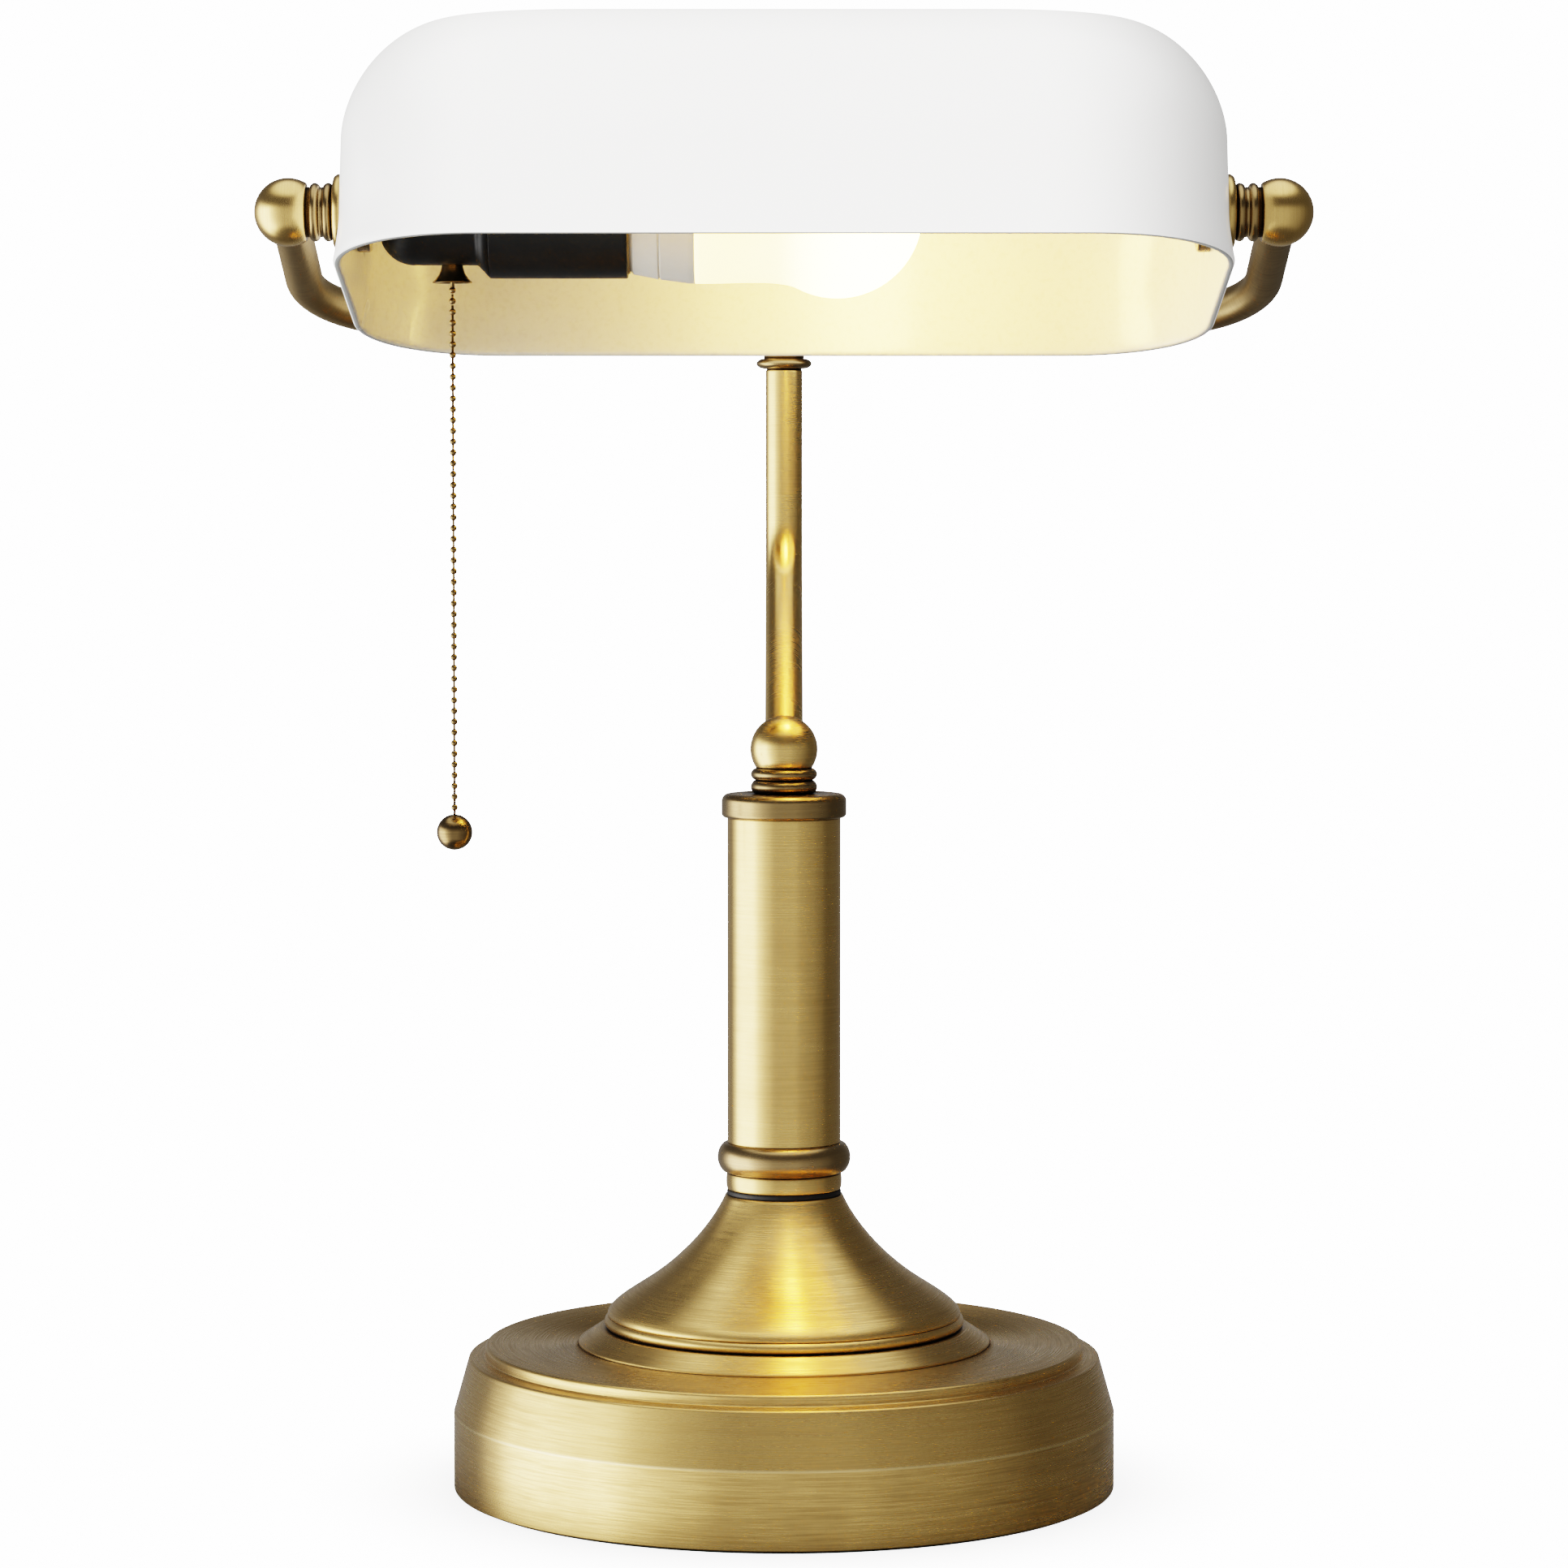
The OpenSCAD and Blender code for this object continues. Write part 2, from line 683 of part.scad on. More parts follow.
wire_route = concat(
    [[0, 80, 8.5], [0, 77, 7], [0, 72, 4.6], [0, 64, 3.8], [0, 40, 3.8], [0, 10, 3.8], [0, 4, 4.2],
     [0, 1.2, 5.6], [0, 0, 8], [0, 0, 60], [0, 0, 120], [0, 0, 180], [0, 0, rod_top - 2]],
    [on_stem(3), on_stem(8), on_stem(30), on_stem(stem_len - 4)],
    [for (a = [-stem_lean:13:0]) on_stem_bend(a)],
    [[0, stem_y, 270], [0, stem_y, 290], [0, stem_y, hub_z - 4], [-1, stem_y, hub_z - 1.4],
     [-4, stem_y, hub_z]],
    [for (a = [1:1:yoke_bow]) on_bow(a)],
    [for (a = [72:-9:0]) on_corner(a)],
    [yoke_point(-knob_x, 20), yoke_point(-knob_x - 0.6, 6), yoke_point(-knob_x - 0.4, 2), [-knob_x + 1, pivot_y, pivot_z],
     [-knob_x + 4, pivot_y, pivot_z], [-112, pivot_y, pivot_z], [cap_x + 3, pivot_y, pivot_z], [-96, pivot_y, pivot_z]]);

// Tube through the points of a route; every ring is square to the route
function unit(v) = v / norm(v);
function heading(p, i) = unit(p[min(i + 1, len(p) - 1)] - p[max(i - 1, 0)]);
function carry(side, dir) = unit(side - (side * dir) * dir);
function sides_of(p, i, side) = let (s = carry(side, heading(p, i)))
    i == len(p) - 1 ? [s] : concat([s], sides_of(p, i + 1, s));

module swept_wire(route, r, n) {
    across = sides_of(route, 0, [1, 0.01, 0]);
    rings = len(route);
    points = [for (i = [0:rings - 1]) let (d = heading(route, i), u = across[i], v = cross(d, u))
        for (k = [0:n - 1]) route[i] + r * (cos(360 * k / n) * u + sin(360 * k / n) * v)];
    faces = [for (i = [0:rings - 2]) for (k = [0:n - 1]) let (a = i * n + k, b = i * n + (k + 1) % n)
        each [[a, a + n, b], [b, a + n, b + n]]];
    polyhedron(points = points, faces = concat(faces, [[for (k = [0:n - 1]) k]],
        [[for (k = [n - 1:-1:0]) (rings - 1) * n + k]]), convexity = 6);
}

module lamp_wire() {
    color("#b08a3c") swept_wire(wire_route, wire_r, wire_sides);
}

base_pad();
base_weight();
base_shell();
cord_grommet();
rod_spacer();
step_ring();
foot_ring();
bell();
gasket_ring();
neck_ring();
lower_collar();
column_tube();
column_cap();
ring_lower();
ring_upper();
column_ball();
threaded_rod();
rod_nut();
lock_washer();
stem_tube();
stem_nipple();
stem_ring();
yoke_hub();
yoke_tube_left();
yoke_tube_right();
knob_ball_left();
knob_ball_right();
knob_rings_left();
knob_rings_right();
flange_left();
flange_right();
pivot_nipple_left();
pivot_nipple_right();
inner_nut_left();
inner_nut_right();
shade();
washer_left();
washer_right();
socket_cap();
socket_body();
socket_insulator();
switch_block();
screw_shell();
centre_contact();
chain_bell();
pull_lever();
chain_link();
pull_chain();
pull_ball();
bulb_tip();
bulb_cap();
bulb_collar();
bulb_globe();
lamp_wire();
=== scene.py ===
import json
import math

import bmesh
import bpy
from mathutils import Matrix, Vector


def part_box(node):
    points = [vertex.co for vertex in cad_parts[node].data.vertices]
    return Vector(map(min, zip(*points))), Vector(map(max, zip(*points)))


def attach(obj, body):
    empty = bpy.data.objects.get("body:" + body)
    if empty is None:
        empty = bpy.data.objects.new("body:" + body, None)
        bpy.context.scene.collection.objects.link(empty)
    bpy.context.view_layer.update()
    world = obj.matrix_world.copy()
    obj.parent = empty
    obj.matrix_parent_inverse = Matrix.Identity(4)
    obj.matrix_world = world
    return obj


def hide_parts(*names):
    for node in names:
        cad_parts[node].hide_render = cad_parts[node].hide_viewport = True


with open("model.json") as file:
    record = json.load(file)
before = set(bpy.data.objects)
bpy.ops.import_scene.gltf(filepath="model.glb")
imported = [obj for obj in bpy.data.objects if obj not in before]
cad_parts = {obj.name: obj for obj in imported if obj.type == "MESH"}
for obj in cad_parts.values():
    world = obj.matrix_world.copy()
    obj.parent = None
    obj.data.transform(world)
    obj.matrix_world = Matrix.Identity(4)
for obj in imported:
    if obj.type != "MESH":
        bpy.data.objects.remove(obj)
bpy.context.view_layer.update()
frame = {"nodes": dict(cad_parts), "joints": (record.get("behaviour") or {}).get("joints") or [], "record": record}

MM = 0.001
# Radius of a lathe's points on its axis, so that no two of them fall together
NEEDLE = 1e-5
scene = bpy.context.scene
record = frame["record"]
joints = {j["name"]: j for j in frame["joints"]}


# ---------------------------------------------------------------- camera, floor and light

# Sensor and focal length in millimetres, the camera's place in metres and its downward tilt in degrees
SENSOR_WIDTH = 36
LENS = 114.43
CAMERA_PLACE = (0, -1.2941, 0.2627)
CAMERA_LOOKS_DOWN = 3.473


def add_camera():
    data = bpy.data.cameras.new("camera")
    data.sensor_width = SENSOR_WIDTH
    data.lens = LENS
    camera = bpy.data.objects.new("camera", data)
    camera.location = CAMERA_PLACE
    camera.rotation_euler = (math.radians(90 - CAMERA_LOOKS_DOWN), 0, 0)
    scene.collection.objects.link(camera)
    scene.camera = camera


# Brightness of the room at each bearing, in degrees: 0 is in front of the lamp, -90 to its left
ROOM = ((-180, 0.14), (-132, 0.12), (-119, 0.9), (-107, 3.4), (-96, 4.2), (-67, 4.2), (-52, 1.8), (-36, 0.95),
        (-18, 0.50), (24, 0.52), (34, 0.35), (58, 0.24), (78, 0.13), (98, 0.02), (140, 0.02), (180, 0.14))
ROOM_PEAK = 4.2
# The lit band lies between these heights on a unit sphere, and its top sinks a little where it is brightest
BAND_TOP = (0.12, 0.42)
BAND_FOOT = (-0.90, -0.66)
BAND_SINK = 0.03
# Light from everywhere else, the softbox overhead and where it starts, and the white that the camera sees
ROOM_DIM = 0.11
OVERHEAD = 1.5
OVERHEAD_FROM = (0.70, 0.93)
BACKDROP = 12.0
# Half the floor's width, how much it glows, and the distances from the lamp over which it fades out
FLOOR_HALF = 0.3
FLOOR_GLOW = 2.4
FLOOR_FADE = (0.080, 0.135)


class Tree:
    """Short forms for adding and linking shader nodes."""

    def __init__(self, owner):
        owner.use_nodes = True
        self.tree = owner.node_tree
        self.tree.nodes.clear()

    def add(self, kind, **settings):
        node = self.tree.nodes.new("ShaderNode" + kind)
        for key, value in settings.items():
            setattr(node, key, value)
        return node

    def link(self, source, target):
        self.tree.links.new(source, target)

    def put(self, socket, value):
        if isinstance(value, (int, float)):
            socket.default_value = value
        elif isinstance(value, tuple):
            socket.default_value = (*value, 1.0)
        else:
            self.link(value, socket)

    def math(self, kind, a, b=0.0):
        node = self.add("Math", operation=kind)
        self.put(node.inputs[0], a)
        self.put(node.inputs[1], b)
        return node.outputs[0]

    def ramp(self, value, low, high, lo_out=0.0, hi_out=1.0, smooth=True):
        node = self.add("MapRange", interpolation_type="SMOOTHSTEP" if smooth else "LINEAR")
        for key, number in (("From Min", low), ("From Max", high), ("To Min", lo_out), ("To Max", hi_out)):
            node.inputs[key].default_value = number
        self.link(value, node.inputs["Value"])
        return node.outputs["Result"]

    def parts(self, vector):
        """The x, y and z of a vector."""
        node = self.add("SeparateXYZ")
        self.link(vector, node.inputs[0])
        return node.outputs

    def mix(self, fac, a, b):
        node = self.add("Mix", data_type="RGBA")
        self.put(node.inputs[0], fac)
        self.put(node.inputs[6], a)
        self.put(node.inputs[7], b)
        return node.outputs[2]


def add_world():
    """A studio room: a band of soft light around the lamp, brightest on the left, one light overhead, a white
    backdrop that only the camera sees."""
    world = bpy.data.worlds.new("studio")
    scene.world = world
    t = Tree(world)
    x, y, z = t.parts(t.add("TexCoord").outputs["Generated"])
    bearing = t.math("ARCTAN2", x, t.math("MULTIPLY", y, -1.0))
    around = t.add("ValToRGB")
    around.color_ramp.interpolation = "EASE"
    stops = around.color_ramp.elements
    while len(stops) < len(ROOM):
        stops.new(0.5)
    for stop, (angle, level) in zip(stops, ROOM):
        stop.position = (angle + 180) / 360
        stop.color = (level / ROOM_PEAK, level / ROOM_PEAK, level / ROOM_PEAK, 1)
    t.link(t.ramp(bearing, -math.pi, math.pi, smooth=False), around.inputs["Fac"])
    level = around.outputs["Color"]
    sunk = t.math("ADD", z, t.math("MULTIPLY", level, BAND_SINK))
    band = t.math("MULTIPLY", t.ramp(sunk, *BAND_TOP, 1.0, 0.0), t.ramp(z, *BAND_FOOT))
    room = t.math("ADD", t.math("MULTIPLY", level, band), ROOM_DIM / ROOM_PEAK)
    room = t.math("ADD", room, t.ramp(z, *OVERHEAD_FROM, 0.0, OVERHEAD / ROOM_PEAK))
    lights = t.add("Background")
    lights.inputs["Strength"].default_value = ROOM_PEAK
    t.link(room, lights.inputs["Color"])
    backdrop = t.add("Background")
    backdrop.inputs["Strength"].default_value = BACKDROP
    pick = t.add("MixShader")
    t.link(t.add("LightPath").outputs["Is Camera Ray"], pick.inputs["Fac"])
    t.link(lights.outputs[0], pick.inputs[1])
    t.link(backdrop.outputs[0], pick.inputs[2])
    t.link(pick.outputs[0], t.add("OutputWorld").inputs[0])


def add_floor():
    """A pale floor that fades into the white backdrop; the brass reflects it as grey."""
    mesh = bpy.data.meshes.new("floor")
    corners = [(x * FLOOR_HALF, y * FLOOR_HALF, 0) for x, y in ((-1, -1), (1, -1), (1, 1), (-1, 1))]
    mesh.from_pydata(corners, [], [(0, 1, 2, 3)])
    floor = bpy.data.objects.new("floor", mesh)
    scene.collection.objects.link(floor)
    mat = bpy.data.materials.new("pale_floor")
    t = Tree(mat)
    paint = t.add("BsdfDiffuse")
    paint.inputs["Color"].default_value = (0.7, 0.7, 0.7, 1)
    reflected = t.add("BsdfDiffuse")
    reflected.inputs["Color"].default_value = (0.18, 0.18, 0.18, 1)
    glow = t.add("Emission")
    glow.inputs["Strength"].default_value = FLOOR_GLOW
    lit = t.add("AddShader")
    t.link(paint.outputs[0], lit.inputs[0])
    t.link(glow.outputs[0], lit.inputs[1])
    length = t.add("VectorMath", operation="LENGTH")
    t.link(t.add("TexCoord").outputs["Object"], length.inputs[0])
    seen = t.add("LightPath").outputs["Is Camera Ray"]
    surface = t.add("MixShader")
    t.link(seen, surface.inputs["Fac"])
    t.link(reflected.outputs[0], surface.inputs[1])
    t.link(lit.outputs[0], surface.inputs[2])
    fade = t.add("MixShader")
    t.link(t.ramp(length.outputs["Value"], *FLOOR_FADE), fade.inputs["Fac"])
    t.link(surface.outputs[0], fade.inputs[1])
    t.link(t.add("BsdfTransparent").outputs[0], fade.inputs[2])
    t.link(fade.outputs[0], t.add("OutputMaterial").inputs["Surface"])
    mesh.materials.append(mat)


# ---------------------------------------------------------------- mesh helpers

def rounded(corners, steps=5):
    """Outline through corners (r, h, fillet): a corner becomes an arc with a support point past each end."""
    points = []
    for i, (r, h, fillet) in enumerate(corners):
        here = Vector((r, h))
        if fillet <= 0 or i in (0, len(corners) - 1):
            points.append(here)
            continue
        before = Vector(corners[i - 1][:2]) - here
        after = Vector(corners[i + 1][:2]) - here
        angle = before.angle(after)
        run = min(fillet / math.tan(angle / 2), 0.45 * before.length, 0.45 * after.length)
        radius = run * math.tan(angle / 2)
        start, end = here + before.normalized() * run, here + after.normalized() * run
        halfway = (before.normalized() + after.normalized()).normalized()
        centre = here + halfway * (radius / math.sin(angle / 2))
        support = min(run * 0.5, 0.04 * min(before.length, after.length))
        points.append(start + before.normalized() * support)
        from_centre, to_centre = start - centre, end - centre
        sweep = math.atan2(from_centre.cross(to_centre), from_centre.dot(to_centre))
        for k in range(steps + 1):
            turn = Matrix.Rotation(sweep * k / steps, 2)
            points.append(centre + turn @ from_centre)
        points.append(end + after.normalized() * support)
    return [(p.x, p.y) for p in points]


def bezier(a, b, c, d, steps):
    """Points along a cubic curve from a to d, with b and c as its handles."""
    points = []
    for i in range(steps + 1):
        t = i / steps
        weights = ((1 - t) ** 3, 3 * (1 - t) ** 2 * t, 3 * (1 - t) * t ** 2, t ** 3)
        points.append(tuple(sum(w * p[k] for w, p in zip(weights, (a, b, c, d))) for k in (0, 1)))
    return points


def arc(centre, radius, start, end, steps):
    """Points on a circle about (0, centre) in the outline's plane, from one angle to another."""
    angles = [start + (end - start) * i / steps for i in range(steps + 1)]
    return [(radius * math.cos(a), centre + radius * math.sin(a)) for a in angles]


def bulge_points(z0, z1, end_radius, radius, power, steps):
    """A rounded rim between two heights: end_radius at both, radius halfway."""
    swell = [math.sin(math.pi * i / steps) ** power for i in range(steps + 1)]
    return [(end_radius + (radius - end_radius) * s, z0 + (z1 - z0) * i / steps) for i, s in enumerate(swell)]


def new_object(name, verts, faces, lay=None, grain=None):
    """A smooth mesh piece. lay: place on the surface in millimetres, for brushed patterns; grain: direction
    of the outline."""
    mesh = bpy.data.meshes.new(name)
    mesh.from_pydata(verts, [], faces)
    mesh.validate()
    for label, values in (("lay", lay), ("grain", grain)):
        if values:
            layer = mesh.attributes.new(label, "FLOAT_VECTOR", "POINT")
            layer.data.foreach_set("vector", [c for v in values for c in v])
    face_outwards(mesh)
    mesh.shade_smooth()
    piece = bpy.data.objects.new(name, mesh)
    scene.collection.objects.link(piece)
    return piece


def face_outwards(mesh):
    builder = bmesh.new()
    builder.from_mesh(mesh)
    bmesh.ops.recalc_face_normals(builder, faces=builder.faces)
    builder.to_mesh(mesh)
    builder.free()


def lathe(name, outline, centre=(0, 0, 0), axis="Z", segments=160):
    """Turns an outline of (radius, height) points, in metres, about an axis through centre."""
    verts, faces, lay, grain = [], [], [], []
    rows = [0.0]
    for (r0, h0), (r1, h1) in zip(outline, outline[1:]):
        rows.append(rows[-1] + math.hypot(r1 - r0, h1 - h0))
    place = {"Z": Matrix.Identity(3), "X": Matrix.Rotation(math.radians(90), 3, "Y"),
             "-X": Matrix.Rotation(math.radians(-90), 3, "Y")}[axis]
    closed = len(outline) > 2 and outline[0] == outline[-1]
    count = len(outline) - 1 if closed else len(outline)
    for j in range(count):
        r, h = outline[j]
        before, after = outline[max(j - 1, 0)], outline[min(j + 1, len(outline) - 1)]
        slope = Vector((after[0] - before[0], after[1] - before[1]))
        slope = slope.normalized() if slope.length else Vector((0, 1))
        wide = max(r, NEEDLE)
        for i in range(segments):
            a = 2 * math.pi * i / segments
            c, s = math.cos(a), math.sin(a)
            verts.append(place @ Vector((wide * c, wide * s, h)) + Vector(centre))
            lay.append((1000 * r * c, 1000 * r * s, 1000 * rows[j]))
            grain.append(place @ Vector((slope.x * c, slope.x * s, slope.y)))
    for j in range(count if closed else count - 1):
        k = (j + 1) % count
        for i in range(segments):
            n = (i + 1) % segments
            faces.append((j * segments + i, j * segments + n, k * segments + n, k * segments + i))
    if not closed:
        faces.append(tuple(reversed(range(segments))))
        faces.append(tuple((count - 1) * segments + i for i in range(segments)))
    return new_object(name, verts, faces, lay, grain)


def tube(name, path, radius, segments=64, end_round=0.0004):
    """Round bar along a path, with softly rounded ends."""
    points = [Vector(p) for p in path]
    heading = [(points[min(i + 1, len(points) - 1)] - points[max(i - 1, 0)]).normalized()
               for i in range(len(points))]
    rings = []
    length = 0.0
    last = len(points) - 1
    side = heading[0].orthogonal().normalized()
    for i, point in enumerate(points):
        side = (side - side.dot(heading[i]) * heading[i]).normalized()
        if i:
            length += (point - points[i - 1]).length
        if i in (0, last):
            inward = heading[i] if i == 0 else -heading[i]
            cap = []
            for k in range(5):
                t = math.radians(90 * k / 4)
                place = point + inward * end_round * (1 - math.cos(t))
                cap.append((place, radius - end_round * (1 - math.sin(t)), side.copy(), heading[i], length))
            rings += cap if i == 0 else reversed(cap)
            continue
        rings.append((point, radius, side.copy(), heading[i], length))
    verts, faces, lay, grain = [], [], [], []
    for centre, r, across, along, run in rings:
        up = along.cross(across)
        for i in range(segments):
            a = 2 * math.pi * i / segments
            verts.append(centre + r * (math.cos(a) * across + math.sin(a) * up))
            lay.append((1000 * r * math.cos(a), 1000 * r * math.sin(a), 1000 * run))
            grain.append(along)
    for j in range(len(rings) - 1):
        for i in range(segments):
            n = (i + 1) % segments
            faces.append((j * segments + i, j * segments + n, (j + 1) * segments + n, (j + 1) * segments + i))
    faces.append(tuple(reversed(range(segments))))
    faces.append(tuple((len(rings) - 1) * segments + i for i in range(segments)))
    return new_object(name, verts, faces, lay, grain)


def install(piece, body, node, material):
    """Puts a finished piece in a CAD node's place, on that node's body and in its material slot."""
    piece.data.materials.append(material)
    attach(piece, body)
    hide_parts(node)


def middle(node):
    """Middle of a CAD node's box."""
    low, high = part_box(node)
    return (low + high) / 2


def half_width(node, axis=0):
    """Half the size of a CAD node's box along an axis, which is a turned piece's radius."""
    low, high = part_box(node)
    return (high[axis] - low[axis]) / 2


def span_out(node):
    """How far out from the lamp's middle plane a node on either side starts and ends."""
    low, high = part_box(node)
    return sorted((abs(low.x), abs(high.x)))


# ---------------------------------------------------------------- materials

class Nodes(Tree):
    """One material: a Principled shader and short forms for its patterns."""

    def __init__(self, name):
        self.material = bpy.data.materials.new(name)
        super().__init__(self.material)
        self.shader = self.add("BsdfPrincipled")
        self.link(self.shader.outputs[0], self.add("OutputMaterial").inputs["Surface"])

    def set(self, **values):
        for key, value in values.items():
            self.shader.inputs[key.replace("_", " ")].default_value = value

    def attribute(self, name):
        return self.add("Attribute", attribute_name=name).outputs["Vector"]

    def object_coords(self):
        return self.add("TexCoord").outputs["Object"]

    def scaled(self, vector, scale):
        node = self.add("Mapping", vector_type="POINT")
        node.inputs["Scale"].default_value = scale
        self.link(vector, node.inputs["Vector"])
        return node.outputs["Vector"]

    def noise(self, vector, scale=1.0, detail=3.0, roughness=0.55):
        node = self.add("TexNoise")
        node.inputs["Scale"].default_value = scale
        node.inputs["Detail"].default_value = detail
        node.inputs["Roughness"].default_value = roughness
        self.link(vector, node.inputs["Vector"])
        return node.outputs["Fac"]

    def bump(self, height, strength, distance):
        node = self.add("Bump")
        node.inputs["Strength"].default_value = strength
        node.inputs["Distance"].default_value = distance
        self.link(height, node.inputs["Height"])
        self.link(node.outputs["Normal"], self.shader.inputs["Normal"])


# Colour of the bright line painted along an edge, a painted highlight that also stands for rubbed wear, and the
# height of the crease at the top of the base's upright wall
CREASE_HIGHLIGHT_AND_WEAR = (1.0, 0.77, 0.38)
BASE_WALL = 20.6 * MM


def brushed_metal(name, tones, rough, streak=1.0, anisotropy=0.85, coat=0.35, turned=True, painted_shade_reach=0.0028,
                  crease=None):
    """Brushed, lacquered antique plating: fine streaks across the grain, cloudy patina, and painted shade that
    darkens crevices and faces close to other parts.
    tones: bright, usual and dark; crease: height of an edge painted with a bright line, a painted highlight that
    also stands for rubbed wear."""
    n = Nodes(name)
    bright, tone, dark = tones
    lay = n.attribute("lay") if turned else n.scaled(n.object_coords(), (1000, 1000, 1000))
    fine = n.noise(n.scaled(lay, (0.045, 0.045, 2.2)), 1.0, 4.0, 0.65)
    hair = n.noise(n.scaled(lay, (0.10, 0.10, 6.0)), 1.0, 2.0, 0.5)
    bands = n.noise(n.scaled(lay, (0.012, 0.012, 0.35)), 1.0, 3.0, 0.6)
    cloud = n.noise(n.object_coords(), 45.0, 4.0, 0.6)
    grains = n.noise(n.object_coords(), 1300.0, 2.0, 0.5)
    streaks = n.math("ADD", n.math("MULTIPLY", fine, 0.60), n.math("MULTIPLY", hair, 0.40))
    contrast = min(1.0, 0.35 + 0.55 * streak)
    base = n.mix(n.ramp(streaks, 0.36, 0.62, 1.0 - contrast, 1.0), tone, bright)
    base = n.mix(n.math("MULTIPLY", n.ramp(cloud, 0.45, 0.75), 0.12), base, dark)
    base = n.mix(n.math("MULTIPLY", n.ramp(bands, 0.5, 0.72), 0.12 * streak), base, dark)
    base = n.mix(n.math("MULTIPLY", n.ramp(grains, 0.58, 0.80), 0.14), base, dark)
    # Painted shade: the colour darkens to near black where ambient occlusion finds other surfaces close by, in
    # crevices and next to other parts
    painted_shade_ao = n.add("AmbientOcclusion", samples=8)
    painted_shade_ao.inputs["Distance"].default_value = painted_shade_reach
    base = n.mix(n.ramp(painted_shade_ao.outputs["AO"], 0.20, 0.80, 0.94, 0.0), base, tuple(c * 0.16 for c in dark))
    # Painted highlight: a thin bright line along the crease, which also stands for rubbed wear
    if crease:
        away = n.math("ABSOLUTE", n.math("SUBTRACT", n.parts(n.object_coords())["Z"], crease))
        base = n.mix(n.ramp(away, 0.00015, 0.0005, 0.7, 0.0), base, CREASE_HIGHLIGHT_AND_WEAR)
    n.link(base, n.shader.inputs["Base Color"])
    rough_map = n.math("ADD", n.ramp(streaks, 0.35, 0.65, rough + 0.05 * streak, rough - 0.05 * streak),
                       n.math("MULTIPLY", n.ramp(cloud, 0.4, 0.7), 0.05))
    n.link(rough_map, n.shader.inputs["Roughness"])
    n.set(Metallic=1.0, Anisotropic=anisotropy, Coat_Weight=coat, Coat_Roughness=0.5, Coat_IOR=1.45)
    if turned:
        turn = n.add("VectorTransform", vector_type="VECTOR", convert_from="OBJECT", convert_to="WORLD")
        n.link(n.attribute("grain"), turn.inputs[0])
        n.link(turn.outputs[0], n.shader.inputs["Tangent"])
    n.bump(n.math("ADD", streaks, n.math("MULTIPLY", grains, 0.05)), 0.16 * streak, 0.00006)
    return n.material


def opal_glass():
    """White cased glass: glossy outside with a painted glow standing in for the bulb's light showing through, bare
    grey edge, and a cream inside painted with the bulb's warm light.
    """
    n = Nodes("opal_glass")
    coords = n.object_coords()
    cloud = n.noise(coords, 14.0, 4.0, 0.55)
    speck = n.noise(coords, 700.0, 2.0, 0.5)
    ripple = n.noise(coords, 32.0, 2.0, 0.4)
    layer = n.add("Attribute", attribute_name="layer").outputs["Fac"]
    outside = n.ramp(layer, 0.15, 0.35, 1.0, 0.0)
    inside = n.ramp(layer, 0.65, 0.85)
    white = n.mix(n.ramp(cloud, 0.35, 0.7), (0.66, 0.66, 0.65), (0.69, 0.69, 0.685))
    # Painted warm light: the inside is tinted cream for the bulb's warm light on the white glass
    warm_lit_cream = n.mix(n.ramp(speck, 0.45, 0.75), (0.74, 0.705, 0.605), (0.69, 0.655, 0.56))
    color = n.mix(outside, (0.42, 0.43, 0.42), white)
    color = n.mix(inside, color, warm_lit_cream)
    n.link(color, n.shader.inputs["Base Color"])
    n.link(n.ramp(cloud, 0.3, 0.7, 0.22, 0.28), n.shader.inputs["Roughness"])
    n.set(IOR=1.5, Coat_Weight=0.3, Coat_Roughness=0.08, Emission_Color=(1.0, 0.985, 0.955, 1.0))
    # Painted glow: emission on the outer skin stands in for the bulb's light showing through the glass, strongest
    # in the middle and fading towards both ends
    x = n.parts(coords)["X"]
    left = n.ramp(x, -0.112, -0.070, 0.95, 2.15)
    right = n.ramp(x, 0.060, 0.112, 2.05, 0.40)
    painted_glow = n.math("MULTIPLY", outside, n.math("MINIMUM", left, right))
    n.link(painted_glow, n.shader.inputs["Emission Strength"])
    n.bump(n.math("ADD", ripple, n.math("MULTIPLY", speck, 0.02)), 0.08, 0.0004)
    return n.material


def moulded(name, color, darker, rough, grain_scale=1500.0, bump=0.15, coat=0.0, metallic=0.0):
    """Plastic, rubber, lacquer or fibre with a fine grain and slow changes of tone."""
    n = Nodes(name)
    coords = n.object_coords()
    grain = n.noise(coords, grain_scale, 3.0, 0.6)
    cloud = n.noise(coords, 60.0, 4.0, 0.6)
    tone = n.mix(n.ramp(cloud, 0.35, 0.7), color, darker)
    tone = n.mix(n.math("MULTIPLY", n.ramp(grain, 0.55, 0.8), 0.4), tone, darker)
    n.link(tone, n.shader.inputs["Base Color"])
    n.link(n.ramp(cloud, 0.3, 0.75, rough - 0.05, rough + 0.07), n.shader.inputs["Roughness"])
    n.set(Metallic=metallic, Coat_Weight=coat, Coat_Roughness=0.2)
    n.bump(grain, bump, 0.0001)
    return n.material


def felt():
    """Short dark green-grey pile, matted in patches."""
    n = Nodes("felt")
    coords = n.object_coords()
    fibre = n.noise(coords, 1800.0, 5.0, 0.7)
    mat = n.noise(coords, 220.0, 4.0, 0.6)
    tone = n.mix(n.ramp(fibre, 0.35, 0.7), (0.018, 0.024, 0.017), (0.06, 0.075, 0.055))
    n.link(n.mix(n.math("MULTIPLY", mat, 0.5), tone, (0.03, 0.035, 0.028)), n.shader.inputs["Base Color"])
    n.link(n.ramp(mat, 0.3, 0.7, 0.88, 1.0), n.shader.inputs["Roughness"])
    n.set(Sheen_Weight=0.4, Sheen_Roughness=0.5)
    n.bump(fibre, 0.6, 0.0003)
    return n.material


